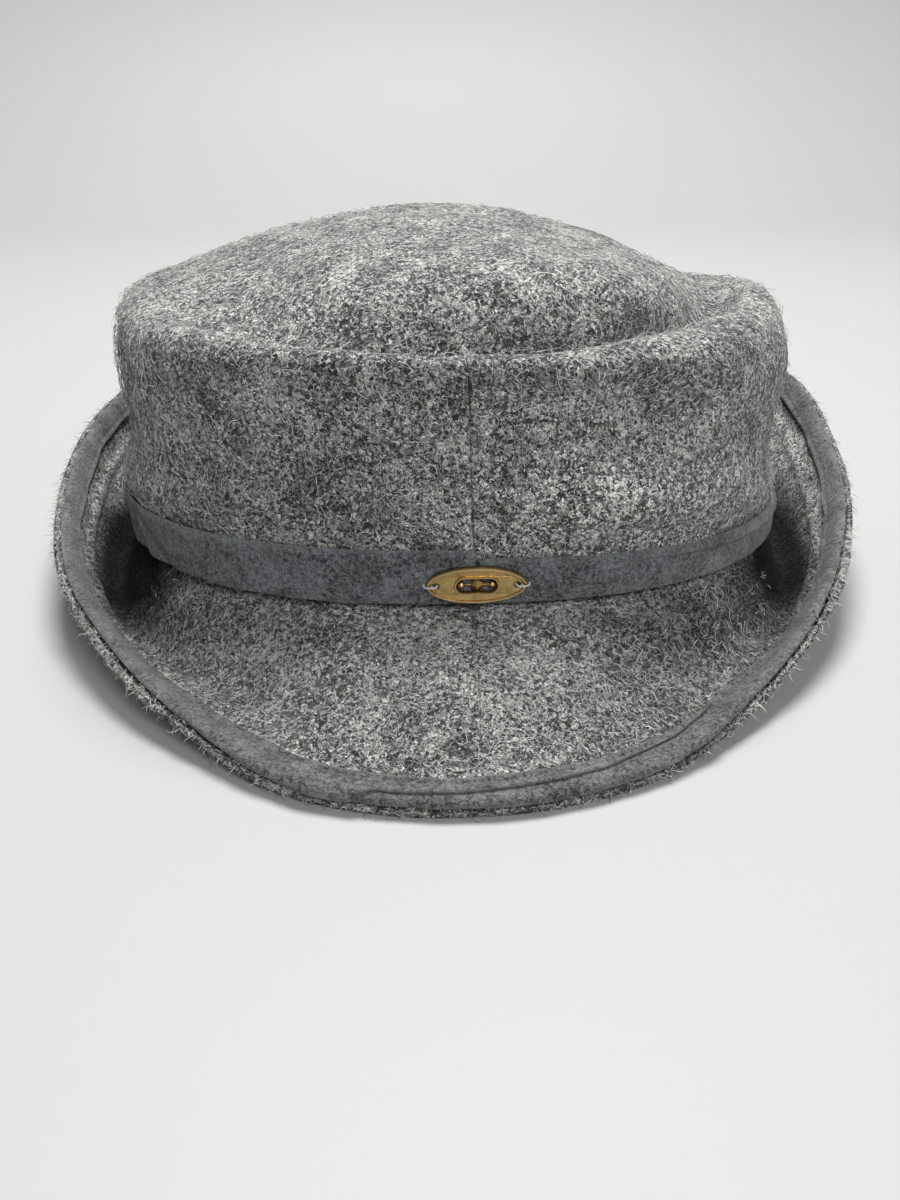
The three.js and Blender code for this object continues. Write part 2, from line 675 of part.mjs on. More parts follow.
function badgeFlat() {
  const full = BADGE_PLATE + BADGE_RIM_RISE;
  const inside = 2 * BADGE_RIM_WIDTH;
  const oval = ellipsePath(BADGE_LENGTH, BADGE_HEIGHT);
  const floor = ellipsePath(BADGE_LENGTH - inside, BADGE_HEIGHT - inside);
  const frame = stadiumPath(WINDOW_LENGTH, WINDOW_HEIGHT);
  const window = stadiumPath(WINDOW_LENGTH - 2 * WINDOW_FRAME, WINDOW_HEIGHT - 2 * WINDOW_FRAME);
  const lozenge = new THREE.Shape([
    new THREE.Vector2(-LOZENGE_LENGTH / 2, 0),
    new THREE.Vector2(0, -LOZENGE_HEIGHT / 2),
    new THREE.Vector2(LOZENGE_LENGTH / 2, 0),
    new THREE.Vector2(0, LOZENGE_HEIGHT / 2),
  ]);
  const bar = stadiumPath(WINDOW_LENGTH - WINDOW_FRAME, BAR_HEIGHT);
  let plate = slab(oval, 0, full, OVAL_SEGMENTS);
  plate = plate.subtract(slab(floor, BADGE_PLATE, 2 * full, FLOOR_SEGMENTS));
  plate = plate.add(slab(frame, BADGE_PLATE / 2, full, ROUND_SEGMENTS));
  plate = plate.subtract(slab(window, -full, 2 * full, ROUND_SEGMENTS));
  plate = plate.add(slab(bar, 0, BAR_THICKNESS, BAR_SEGMENTS));
  plate = plate.add(slab(lozenge, 0, LOZENGE_THICKNESS, 1));
  for (const side of [-1, 1]) {
    const bead = new THREE.Shape();
    bead.absarc((side * BEAD_SPACING) / 2, 0, BEAD_DIAMETER / 2, 0, 2 * Math.PI, false);
    plate = plate.add(slab(bead, 0, BEAD_THICKNESS, ROUND_SEGMENTS));
    const hole = new THREE.Shape();
    hole.absarc((side * BADGE_HOLE_SPACING) / 2, 0, BADGE_HOLE / 2, 0, 2 * Math.PI, false);
    plate = plate.subtract(slab(hole, -full, 2 * full, ROUND_SEGMENTS));
  }
  return fromManifold(plate);
}

// Bends a flat drawing round the front of the band, at the band's mid height
function bentOntoBand(geometry) {
  const middle = BAND_LIFT + (BAND_HEIGHT * along(BAND, 'top', 0) - BAND_LIFT) / 2;
  const seat = 2 * GAP + BAND_THICKNESS * along(BAND, 'puff', FULL_TURN);
  const position = geometry.attributes.position;
  const point = new THREE.Vector3();
  for (let i = 0; i < position.count; i += 1) {
    point.fromBufferAttribute(position, i);
    const azimuth = THREE.MathUtils.radToDeg(point.x / (HEAD_LENGTH / 2 + seat));
    const station = stationAbove(azimuth, middle);
    const foot = crown.at(azimuth, station);
    const up = crown.run(azimuth, station).normalize();
    const out = crown.normal(azimuth, station);
    foot.addScaledVector(up, point.y).addScaledVector(out, seat + point.z);
    position.setXYZ(i, foot.x, foot.y, foot.z);
  }
  return facedOut(geometry);
}

// A thread that comes up through the hole and goes down over the badge's pointed end
function threadGeometry(side) {
  const hole = BADGE_HOLE_SPACING / 2;
  const end = BADGE_LENGTH / 2;
  const clear = (THREAD_DIAMETER + GAP) / 2;
  const top = BADGE_PLATE + BADGE_RIM_RISE + clear;
  const path = new THREE.CatmullRomCurve3([
    new THREE.Vector3(side * (hole - clear / 2), 0, clear),
    new THREE.Vector3(side * hole, 0, top),
    new THREE.Vector3(side * (end + clear / 2), 0, top),
    new THREE.Vector3(side * (end + 2 * clear), 0, clear),
  ]);
  const ring = new THREE.Shape();
  ring.absarc(0, 0, THREAD_DIAMETER / 2, 0, 2 * Math.PI, false);
  const flat = new THREE.ExtrudeGeometry(ring, {
    steps: THREAD_STEPS,
    extrudePath: path,
    curveSegments: THREAD_SEGMENTS,
    bevelEnabled: false,
  });
  flat.deleteAttribute('normal');
  flat.deleteAttribute('uv');
  return mergeVertices(flat, BADGE_MERGE);
}

const wool = (name) => new THREE.MeshStandardMaterial({ name, color: 0x6f7070, roughness: 0.95 });
const suede = (name) => new THREE.MeshStandardMaterial({ name, color: 0x474e57, roughness: 0.9 });
const brass = (name) =>
  new THREE.MeshStandardMaterial({ name, color: 0x9a8052, roughness: 0.4, metalness: 0.9 });
const thread = (name) => new THREE.MeshStandardMaterial({ name, color: 0xb4b6b5, roughness: 0.8 });

const hat = new THREE.Group();

function addPiece(name, geometry, material) {
  const mesh = new THREE.Mesh(geometry, material(name));
  mesh.name = name;
  hat.add(mesh);
}

addPiece('crown_side_right', crownSideGeometry(0, HALF_TURN), wool);
addPiece('crown_side_left', crownSideGeometry(HALF_TURN, FULL_TURN), wool);
addPiece('crown_tip', crownTipGeometry(), wool);
addPiece('brim_top_right', brimTopGeometry(0, HALF_TURN), wool);
addPiece('brim_top_left', brimTopGeometry(HALF_TURN, FULL_TURN), wool);
addPiece('brim_under', brimUnderGeometry(), wool);
addPiece('brim_trim', trimGeometry(), suede);
addPiece('hat_band', bandGeometry(), suede);
addPiece('badge', bentOntoBand(badgeFlat()), brass);
addPiece('badge_thread_right', bentOntoBand(threadGeometry(1)), thread);
addPiece('badge_thread_left', bentOntoBand(threadGeometry(-1)), thread);

// The origin is under the middle of the hat, on the surface that it lies on
const extent = new THREE.Box3().setFromObject(hat);
const centre = extent.getCenter(new THREE.Vector3());
hat.position.set(-centre.x, -centre.y, -extent.min.z);

export default hat;
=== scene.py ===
"""Soft sewn wool hat with a suede band, a suede edge trim and a small oval brass badge.

Shapes are made in millimetres round the crown's axis, with +Z up and the front toward -Y,
and are moved to the part's own frame when a mesh is made. Azimuths are in degrees: 0 in
front, 90 on the +X side, 180 behind.
"""

import math

import bpy
import numpy as np
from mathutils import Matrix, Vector


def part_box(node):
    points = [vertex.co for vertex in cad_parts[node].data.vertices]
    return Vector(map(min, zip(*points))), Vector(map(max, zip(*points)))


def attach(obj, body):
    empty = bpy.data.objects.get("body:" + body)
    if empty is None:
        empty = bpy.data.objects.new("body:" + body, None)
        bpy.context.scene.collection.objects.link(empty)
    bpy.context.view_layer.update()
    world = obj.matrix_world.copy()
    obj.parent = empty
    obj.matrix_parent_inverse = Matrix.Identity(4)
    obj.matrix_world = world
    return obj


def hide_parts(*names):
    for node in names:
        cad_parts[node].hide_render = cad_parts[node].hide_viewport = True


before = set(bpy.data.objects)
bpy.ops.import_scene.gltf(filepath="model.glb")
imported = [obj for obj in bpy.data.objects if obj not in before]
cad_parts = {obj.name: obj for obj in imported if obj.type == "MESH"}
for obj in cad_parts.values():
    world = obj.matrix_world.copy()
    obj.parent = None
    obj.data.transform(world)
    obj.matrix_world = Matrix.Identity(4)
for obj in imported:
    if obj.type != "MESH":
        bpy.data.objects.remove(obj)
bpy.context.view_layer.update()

MM = 0.001
BODY = "root"
FULL_TURN = 360
HALF_TURN = 180

# Head opening: the oval line where crown and brim are sewn together
HEAD_WIDTH = 178
HEAD_LENGTH = 191
HEAD_OVAL = 2.4
HEADLINE_FRONT = 24.5
HEADLINE_BACK = 10.5

# Crown
CROWN_HEIGHT = 57
DOME_HEIGHT = 80
CROWN_WALL = 2.5
CROWN_TUCK = 0.3
CROWN_CORE = 0.28

# Brim of two plies
BRIM_REACH = 50
TURN_UP = 46
BRIM_PLY = 1.4
BRIM_PRESS = 0.5
BRIM_SOFTNESS = 0.8
HEM_REACH = 1.7
HEM_RISE = 0.5
HEM_SWELL = 0.6
SIDE_HEM = 0.75
# Painted shade on the outer part of the under ply and its hem
HEM_PAINTED_SHADE = 0.25
HEM_FULLEST = 0.35
HEM_LEAST = 0.02

# Suede trim along the brim's edge
TRIM_WIDTH = 9
TRIM_THICKNESS = 1
TRIM_WRAP = 2.6
MOST_WRAP = 0.2
TRIM_UNDER_END = -14
TRIM_OVER_END = 24
TRIM_OVER_TAPER = 36
TRIM_CLIMB_START = -29
TRIM_CLIMB = 12
TRIM_TAPERED_SHARE = 0.2
TRIM_STITCH_IN = 1.9
TRIM_STITCH_DEPTH = 0.28
TRIM_EDGE_ROUND = 0.8
TRIM_WORN = 1.6

# Uneven cut of the trim's inner edge: how much and how many waves round the hat
TRIM_WANDER = [(0.35, 11), (0.2, 29)]

# Suede hat band
BAND_HEIGHT = 13.5
BAND_THICKNESS = 1.5
BAND_LIFT = 0.4
BAND_TOP_ROUND = 1.3
BAND_FOOT_ROUND = 0.7
BAND_END_ROUND = 0.8
BAND_WORN = 2.2
BAND_LEAST = 0.06

# Oval badge and the thread at its two ends
BADGE_LENGTH = 22.7
BADGE_HEIGHT = 8.9
BADGE_PLATE = 0.9
BADGE_RIM_WIDTH = 0.9
BADGE_RIM_RISE = 0.5
BADGE_HOLE = 1.5
BADGE_HOLE_SPACING = 18.2
BADGE_BEVEL = 0.06
BADGE_INLAY_FOOT = 0.1
EYELET_WIDTH = 0.3
EYELET_RISE = 0.12
WINDOW_LENGTH = 10.4
WINDOW_HEIGHT = 4.6
WINDOW_FRAME = 0.7
LOZENGE_LENGTH = 4.2
LOZENGE_HEIGHT = 3
BEAD_DIAMETER = 1.7
BEAD_SPACING = 7
BAR_HEIGHT = 0.6
THREAD_DIAMETER = 0.55
THREAD_TWIST = 5
STRAND_SHARE = 0.62
STRAND_OFFSET = 0.45

# Clearance between pieces that touch
GAP = 0.3
TRIM_GAP = 0.5

BRIM_STACK = 2 * BRIM_PLY + GAP
TIP_SEAM = 6.5
CROWN_CENTRE = 10
RIM = 5
NUDGE = 0.01
COARSE_STEPS = 48

# Half of a sewn seam's slit, how deep a seam's edges are drawn in and how wide they round
SEAM_SLIT = 0.01
SEAM_DEPTH = 0.8
CROWN_SEAM_ROUND = 1.3
BRIM_SEAM_ROUND = 1.1
TIP_SEAM_DEPTH = 0.25
TIP_SEAM_ROUND = 0.3
TIP_SEAM_SLIT = 0.02
RIM_ROUND = 0.6
RIM_DEPTH = 0.8
SEAM_RIDGE = 0.22

# Unevenness of the soft goods: slow waves, quick waves, and those of suede
SLOW_RELIEF = 0.28
QUICK_RELIEF = 0.10
BAND_RELIEF = 0.10
TRIM_RELIEF = 0.12
UNDER_RELIEF = 0.15

# How far the front seam leans over, in degrees for each station
CROWN_SEAM_LEAN = 0.25
BRIM_SEAM_LEAN = 0.18
LEAN_WIDTH = 14

# A ply drawn in at its edge still keeps this little share of its thickness
EDGE_SHARE = 0.04

# Fineness of the shown meshes
RING_STEPS = 390
SIDE_STEPS = 190
WALL_STEPS = 44
SHOULDER_STEPS = 26
BRIM_STEPS = 58
UNDER_STEPS = 50

# Wool fibres that stand proud of the cloth: rings of points along each, and their size
FIBRE_RINGS = 5
FIBRE_SIDES = 3
FIBRE_RADIUS = 0.095
FIBRE_TAPER = 0.75
FIBRE_FOOT = -0.12
FIBRE_CURL = 0.55
FIBRE_TONES = (1.1, 1.2)
HEM_FIBRES = 3000

# Camera, in millimetres from the crown's axis and the floor; angles in degrees
CAMERA_DISTANCE = 340
CAMERA_HEIGHT = 142
CAMERA_PITCH = 25.5
CAMERA_YAW = -3.6
CAMERA_LENS = 36
CAMERA_SENSOR = 36
IMAGE_HEIGHT = 1200
IMAGE_OFFSET = 1


def table(columns, rows):
    values = np.array(rows, float)
    return {name: values[:, i] for i, name in enumerate(columns)}


# Crown sections. Outs and ins are shares of half the head width, measured from the
# headline oval; ups are shares of CROWN_HEIGHT above the headline; ridgeIn is a share
# of the oval's radius and domeUp a share of DOME_HEIGHT.
CROWN = table(
    ["azimuth", "bulgeOut", "bulgeUp", "waistOut", "waistUp", "shoulderOut", "shoulderUp",
     "rollOut", "rollUp", "lipIn", "lipUp", "creaseIn", "creaseUp", "ridgeIn", "ridgeUp",
     "domeUp"],
    [
        [0, 0.010, 0.36, 0.004, 0.58, 0.004, 0.82, -0.012, 0.95, 0.060, 0.965, 0.135, 0.800,
         0.27, 1.185, 1.00],
        [20, 0.030, 0.38, -0.006, 0.60, -0.014, 0.80, -0.028, 0.94, 0.125, 0.970, 0.190, 0.770,
         0.27, 1.180, 0.99],
        [42, 0.025, 0.30, 0.000, 0.50, -0.008, 0.78, -0.055, 0.96, 0.170, 0.995, 0.238, 0.820,
         0.31, 1.150, 0.97],
        [65, 0.000, 0.24, -0.030, 0.42, 0.004, 0.76, -0.040, 1.00, 0.125, 1.050, 0.222, 0.970,
         0.38, 1.140, 0.96],
        [90, -0.010, 0.20, -0.045, 0.36, -0.002, 0.74, -0.035, 1.00, 0.085, 1.060, 0.190, 1.045,
         0.42, 1.200, 0.96],
        [120, 0.010, 0.24, 0.000, 0.44, 0.015, 0.76, -0.045, 0.94, 0.110, 1.010, 0.210, 1.060,
         0.42, 1.240, 0.96],
        [180, 0.015, 0.30, 0.010, 0.50, 0.020, 0.78, -0.030, 0.95, 0.090, 1.010, 0.190, 1.070,
         0.42, 1.280, 0.97],
        [240, 0.025, 0.28, 0.000, 0.48, 0.020, 0.78, -0.020, 0.98, 0.085, 1.060, 0.190, 1.130,
         0.42, 1.310, 0.98],
        [270, 0.035, 0.24, -0.025, 0.47, 0.008, 0.76, -0.015, 1.02, 0.080, 1.110, 0.190, 1.170,
         0.42, 1.290, 0.98],
        [295, 0.028, 0.28, -0.010, 0.50, 0.010, 0.78, -0.008, 1.00, 0.075, 1.080, 0.180, 1.110,
         0.42, 1.230, 0.99],
        [320, 0.020, 0.32, 0.000, 0.54, 0.012, 0.80, -0.008, 0.975, 0.060, 1.02, 0.160, 0.970,
         0.37, 1.180, 1.00],
        [342, 0.012, 0.34, 0.004, 0.56, 0.006, 0.82, -0.010, 0.96, 0.055, 0.985, 0.145, 0.860,
         0.30, 1.185, 1.00],
    ],
)

# Brim sections. Outs are shares of BRIM_REACH from the headline oval; fallUp, nearUp and
# farUp are shares of the headline's height above the lying brim; riseUp and rimUp are
# shares of TURN_UP above the lying brim; hem, wrap and trim are shares of HEM_REACH,
# TRIM_WRAP and TRIM_WIDTH.
BRIM = table(
    ["azimuth", "fallOut", "fallUp", "nearOut", "nearUp", "farOut", "farUp", "riseOut",
     "riseUp", "rimOut", "rimUp", "hem", "wrap", "trim"],
    [
        [0, 0.15, 0.82, 0.37, 0.60, 0.59, 0.33, 0.79, 0.045, 0.940, 0.004, 0.75, 0.25, 0.60],
        [15, 0.13, 0.76, 0.30, 0.49, 0.48, 0.23, 0.66, 0.030, 0.800, 0.016, 0.50, 0.40, 0.65],
        [30, 0.10, 0.66, 0.19, 0.34, 0.31, 0.15, 0.44, 0.060, 0.545, 0.120, 0.30, 0.45, 0.85],
        [45, 0.075, 0.58, 0.135, 0.20, 0.210, 0.045, 0.32, 0.105, 0.420, 0.250, 0.25, 0.45, 0.88],
        [60, 0.06, 0.50, 0.11, 0.11, 0.175, 0.00, 0.28, 0.165, 0.385, 0.375, 0.20, 0.55, 0.75],
        [75, 0.06, 0.45, 0.105, 0.04, 0.17, -0.030, 0.300, 0.215, 0.430, 0.480, 0.09, 0.80, 0.65],
        [90, 0.06, 0.43, 0.105, 0.02, 0.18, -0.040, 0.335, 0.280, 0.500, 0.600, 0.05, 1.00, 0.62],
        [110, 0.06, 0.43, 0.105, 0.02, 0.20, -0.030, 0.380, 0.420, 0.565, 0.830, 0.05, 1.00, 0.62],
        [145, 0.05, 0.48, 0.095, 0.03, 0.18, -0.040, 0.330, 0.450, 0.480, 0.960, 0.05, 1.00, 0.65],
        [180, 0.045, 0.50, 0.085, 0.04, 0.165, -0.040, 0.300, 0.460, 0.420, 1.00, 0.05, 1.00, 0.65],
        [215, 0.045, 0.48, 0.09, 0.03, 0.17, -0.040, 0.310, 0.430, 0.450, 0.910, 0.05, 1.00, 0.65],
        [250, 0.055, 0.43, 0.10, 0.02, 0.18, -0.040, 0.320, 0.300, 0.440, 0.640, 0.05, 1.00, 0.62],
        [270, 0.06, 0.43, 0.105, 0.02, 0.175, -0.040, 0.300, 0.230, 0.405, 0.520, 0.05, 1.00, 0.62],
        [285, 0.06, 0.45, 0.105, 0.04, 0.165, -0.030, 0.285, 0.190, 0.385, 0.435, 0.08, 0.82, 0.65],
        [300, 0.06, 0.50, 0.11, 0.12, 0.175, 0.00, 0.29, 0.150, 0.410, 0.345, 0.34, 0.36, 0.75],
        [315, 0.075, 0.58, 0.135, 0.20, 0.215, 0.045, 0.335, 0.100, 0.470, 0.245, 0.80, 0.15, 0.88],
        [330, 0.10, 0.66, 0.19, 0.34, 0.32, 0.15, 0.49, 0.060, 0.635, 0.120, 1.00, 0.12, 0.85],
        [345, 0.13, 0.76, 0.31, 0.50, 0.52, 0.25, 0.72, 0.030, 0.870, 0.016, 0.95, 0.20, 0.65],
    ],
)

# Band heights as shares of BAND_HEIGHT and its puff as shares of BAND_THICKNESS, from the
# end on the +X side round the back to the end on the -X side.
BAND = table(
    ["azimuth", "top", "puff"],
    [
        [0, 0.84, 1.00],
        [30, 0.76, 0.90],
        [60, 0.70, 0.80],
        [100, 0.74, 0.80],
        [180, 0.85, 0.85],
        [260, 0.90, 0.85],
        [300, 0.96, 0.95],
        [330, 1.00, 1.05],
        [FULL_TURN, 0.99, 1.05],
    ],
)


def hermite(y0, y1, m0, m1, width, f):
    f2 = f * f
    f3 = f2 * f
    values = (2 * f3 - 3 * f2 + 1) * y0 + (3 * f2 - 2 * f3) * y1
    slopes = (f3 - 2 * f2 + f) * m0 + (f3 - f2) * m1
    return values + slopes * width


def around(rows, column, azimuth):
    """Smooth value of one column at each azimuth, going round and round."""
    turn = np.mod(azimuth, FULL_TURN)
    knots = rows["azimuth"]
    at = np.concatenate([knots[-2:] - FULL_TURN, knots, knots[:3] + FULL_TURN])
    values = rows[column]
    value = np.concatenate([values[-2:], values, values[:3]])
    slope = (value[2:] - value[:-2]) / (at[2:] - at[:-2])
    i = np.searchsorted(at, turn, side="right") - 1
    width = at[i + 1] - at[i]
    return hermite(value[i], value[i + 1], slope[i - 1], slope[i], width, (turn - at[i]) / width)


def along(rows, column, azimuth):
    """Value of one column along a strip with two ends."""
    return np.interp(azimuth, rows["azimuth"], rows[column])


def from_front(azimuth):
    """The same azimuth, counted both ways from the front."""
    return (azimuth + HALF_TURN) % FULL_TURN - HALF_TURN


def head_radius(azimuth):
    across = np.abs(np.sin(np.radians(azimuth))) / (HEAD_WIDTH / 2)
    ahead = np.abs(np.cos(np.radians(azimuth))) / (HEAD_LENGTH / 2)
    return (across**HEAD_OVAL + ahead**HEAD_OVAL) ** (-1 / HEAD_OVAL)


def head_height(azimuth):
    forward = np.cos(np.radians(azimuth)) * head_radius(azimuth)
    middle = (HEADLINE_FRONT + HEADLINE_BACK) / 2
    return middle + (HEADLINE_FRONT - HEADLINE_BACK) * forward / HEAD_LENGTH


def resting(height):
    """The brim is pressed flat where it meets the surface that the hat lies on."""
    floor = BRIM_STACK - BRIM_PRESS
    above = height - floor
    soft = floor + np.maximum(above + BRIM_SOFTNESS, 0) ** 2 / (4 * BRIM_SOFTNESS)
    return np.where(above > BRIM_SOFTNESS, height, soft)


def profile(points, station):
    """A smooth profile through points [radius, height], one unit of station per point."""
    before = 2 * points[:1] - points[1:2]
    after = 2 * points[-1:] - points[-2:-1]
    run = np.concatenate([before, points, after])
    i = np.clip(np.floor(station), 0, len(points) - 2).astype(int)
    f = station - i
    a, b, c, d = [np.take_along_axis(run, (i + k)[None, None], 0)[0] for k in range(4)]
    return hermite(b, c, (c - a) / 2, (d - b) / 2, 1, f)


def crown_points(azimuth):
    """The crown's section, from the headline up the wall and in to the middle of its top."""
    r = head_radius(azimuth)
    z = head_height(azimuth)
    half = HEAD_WIDTH / 2
    share = {name: around(CROWN, name, azimuth) for name in CROWN}
    middle = (HEADLINE_FRONT + HEADLINE_BACK) / 2

    def wall(out, up):
        return [r + half * share[out], z + CROWN_HEIGHT * share[up]]

    return np.array([
        [r, z],
        [r + half * CROWN_TUCK * share["bulgeOut"], z + CROWN_HEIGHT * share["bulgeUp"] * 0.6],
        wall("bulgeOut", "bulgeUp"),
        wall("waistOut", "waistUp"),
        wall("shoulderOut", "shoulderUp"),
        wall("rollOut", "rollUp"),
        [r - half * share["lipIn"], z + CROWN_HEIGHT * share["lipUp"]],
        [r - half * share["creaseIn"], z + CROWN_HEIGHT * share["creaseUp"]],
        [r * (1 - share["ridgeIn"]), z + CROWN_HEIGHT * share["ridgeUp"]],
        [r * CROWN_CORE, middle + DOME_HEIGHT * share["domeUp"]],
        [r * 0, middle + DOME_HEIGHT + r * 0],
    ])


def brim_points(azimuth):
    """The brim's section, from under the crown's edge out and up to the rim."""
    r = head_radius(azimuth)
    z = head_height(azimuth)
    share = {name: around(BRIM, name, azimuth) for name in BRIM}

    def near(out, up):
        return [r + BRIM_REACH * share[out], BRIM_STACK + (z - BRIM_STACK) * share[up]]

    def turned(out, up):
        return [r + BRIM_REACH * share[out], BRIM_STACK + (TURN_UP - BRIM_STACK) * share[up]]

    return np.array([
        [r - CROWN_WALL, z - GAP],
        near("fallOut", "fallUp"),
        near("nearOut", "nearUp"),
        near("farOut", "farUp"),
        turned("riseOut", "riseUp"),
        turned("rimOut", "rimUp"),
    ])


def crown_section(azimuth, station):
    return profile(crown_points(azimuth), station)


def brim_section(azimuth, station):
    radius, height = profile(brim_points(azimuth), station)
    return np.array([radius, resting(height)])


def unit(vectors):
    return vectors / np.linalg.norm(vectors, axis=-1, keepdims=True)


class Surface:
    """Gives points, normals and runs at arrays of azimuths and stations."""

    def __init__(self, section, side, last):
        self.section = section
        self.side = side
        self.last = last

    def at(self, azimuth, station):
        azimuth, station = np.broadcast_arrays(
            np.asarray(azimuth, float), np.asarray(station, float)
        )
        radius, height = self.section(azimuth, station)
        angle = np.radians(azimuth)
        return np.stack([np.sin(angle) * radius, -np.cos(angle) * radius, height], -1)

    def run(self, azimuth, station):
        ahead = np.minimum(station + NUDGE, self.last)
        behind = np.maximum(ahead - 2 * NUDGE, 0)
        rise = self.at(azimuth, ahead) - self.at(azimuth, behind)
        return rise / np.expand_dims(ahead - behind, -1)

    def normal(self, azimuth, station):
        inside = np.minimum(station, self.last - NUDGE)
        turn = self.at(azimuth + NUDGE, inside) - self.at(azimuth - NUDGE, inside)
        return unit(np.cross(turn, self.run(azimuth, inside)) * self.side)


crown = Surface(crown_section, 1, CROWN_CENTRE)
brim = Surface(brim_section, -1, RIM)


def brim_share(column, azimuth):
    return np.maximum(around(BRIM, column, azimuth), 0)


def shown_hem(azimuth):
    """Share of the hem that stands out past the trim, at the sides and the back too."""
    return np.maximum(brim_share("hem", azimuth), SIDE_HEM)


def hem_points(azimuth):
    """The under ply's outer edge: two points of its upper and three of its lower face."""
    rim = np.full_like(azimuth, RIM)
    outward = unit(brim.run(azimuth, rim))
    base = brim.at(azimuth, rim)
    normal = brim.normal(azimuth, rim)
    top = -(BRIM_PLY + GAP)
    rise = HEM_RISE * brim_share("hem", azimuth)[..., None]
    reach = HEM_REACH * brim_share("hem", azimuth)[..., None]
    edges = [
        (HEM_SWELL, top + rise),
        (1, top - BRIM_PLY / 4),
        (0, -BRIM_STACK),
        (HEM_SWELL, -BRIM_STACK),
        (1, BRIM_PLY / 4 - BRIM_STACK),
    ]
    return [base + outward * reach * share + normal * level for share, level in edges]


def ring_azimuths(steps):
    return np.arange(steps)[:, None] * FULL_TURN / steps


def frame_shift():
    """How far the part's own frame lies from the crown's axis, read from the under ply."""
    points = np.concatenate(hem_points(ring_azimuths(COARSE_STEPS))).reshape(-1, 3)
    corners = [np.array(corner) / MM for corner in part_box("brim_under")]
    shift = (corners[0] + corners[1]) / 2 - (points.min(0) + points.max(0)) / 2
    return np.array([shift[0], shift[1], 0])


SHIFT = frame_shift()


# Slow waves that keep soft goods from looking machined

class Waves:
    """A smooth random field made of plane waves, the same on each run."""

    def __init__(self, seed, wavelength, count=14):
        draw = np.random.default_rng(seed)
        direction = unit(draw.normal(size=(count, 3)))
        length = wavelength * draw.uniform(0.7, 1.5, size=(count, 1))
        self.vectors = 2 * np.pi * direction / length
        self.phases = draw.uniform(0, 2 * np.pi, size=count)
        self.scale = math.sqrt(2 / count)

    def at(self, points):
        return np.sin(points @ self.vectors.T + self.phases).sum(-1) * self.scale


def quarter_round(distance, width):
    """0 at an edge, 1 from one width in, with the outline of a quarter circle."""
    t = np.clip(distance / width, 0, 1)
    return np.sqrt(1 - (1 - t) ** 2)


def bell(value, middle, width):
    return np.exp(-(((value - middle) / width) ** 2))


def smooth_step(value, low, high):
    t = np.clip((value - low) / (high - low), 0, 1)
    return t * t * (3 - 2 * t)


def from_start(points, axis):
    """Distance along a grid of points from its first row or column."""
    steps = np.linalg.norm(np.diff(points, axis=axis), axis=-1)
    run = np.cumsum(steps, axis=axis)
    first = np.zeros_like(np.take(run, [0], axis))
    return np.concatenate([first, run], axis)


def from_end(points, axis):
    return np.flip(from_start(np.flip(points, axis), axis), axis)


# Meshes

def grid_faces(first, second, size, reverse):
    """Quads between rows of points whose first indices are given, k running over size."""
    k = np.arange(size - 1)
    a = first[:, None] + k
    b = second[:, None] + k
    quads = np.stack([a, b, b + 1, a + 1], -1).reshape(-1, 4)
    return quads[:, ::-1] if reverse else quads


def shell_faces(n, m, closed):
    """Faces of a shell whose points are n sections of m front points and m back points."""
    start = np.arange(n) * 2 * m
    first = start if closed else start[:-1]
    second = np.roll(start, -1) if closed else start[1:]
    faces = [
        grid_faces(first, second, m, False),
        grid_faces(first + m, second + m, m, True),
        np.stack([first, first + m, second + m, second], -1),
        np.stack([first + m - 1, second + m - 1, second + 2 * m - 1, first + 2 * m - 1], -1),
    ]
    if not closed:
        k = np.arange(m - 1)
        z = start[-1]
        faces.append(np.stack([k, k + 1, k + 1 + m, k + m], -1))
        faces.append(np.stack([z + k, z + k + m, z + k + 1 + m, z + k + 1], -1))
    return np.concatenate(faces)


def signed_volume(points, faces):
    a, b, c = points[faces[:, 0]], points[faces[:, 1]], points[faces[:, 2]]
    total = np.einsum("ij,ij->", a, np.cross(b, c))
    if faces.shape[1] == 4:
        d = points[faces[:, 3]]
        total += np.einsum("ij,ij->", a, np.cross(c, d))
    return total / 6


def add_mesh(name, points, faces, material, attributes=None):
    """A piece in the part's own frame, from points in millimetres round the axis."""
    if signed_volume(points, faces) < 0:
        faces = faces[:, ::-1]
    mesh = bpy.data.meshes.new(name)
    sides = faces.shape[1]
    mesh.vertices.add(len(points))
    mesh.vertices.foreach_set("co", ((points + SHIFT) * MM).astype(np.float32).ravel())
    mesh.loops.add(faces.size)
    mesh.loops.foreach_set("vertex_index", faces.astype(np.int32).ravel())
    mesh.polygons.add(len(faces))
    mesh.polygons.foreach_set("loop_start", np.arange(0, faces.size, sides, dtype=np.int32))
    mesh.polygons.foreach_set("use_smooth", np.full(len(faces), True))
    mesh.update(calc_edges=True)
    for label, values in (attributes or {}).items():
        layer = mesh.attributes.new(label, "FLOAT", "POINT")
        layer.data.foreach_set("value", np.asarray(values, np.float32).ravel())
    mesh.materials.append(material)
    piece = bpy.data.objects.new(name, mesh)
    bpy.context.scene.collection.objects.link(piece)
    return piece


def add_shell(name, front, back, closed, material, attributes=None):
    n, m = front.shape[:2]
    points = np.stack([front, back], 1).reshape(-1, 3)
    doubled = {
        label: np.stack([values, values], 1).ravel()
        for label, values in (attributes or {}).items()
    }
    return add_mesh(name, points, shell_faces(n, m, closed), material, doubled)


def stand_for(piece, node):
    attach(piece, BODY)
    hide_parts(node)


# Azimuths and stations, closer together toward a seam

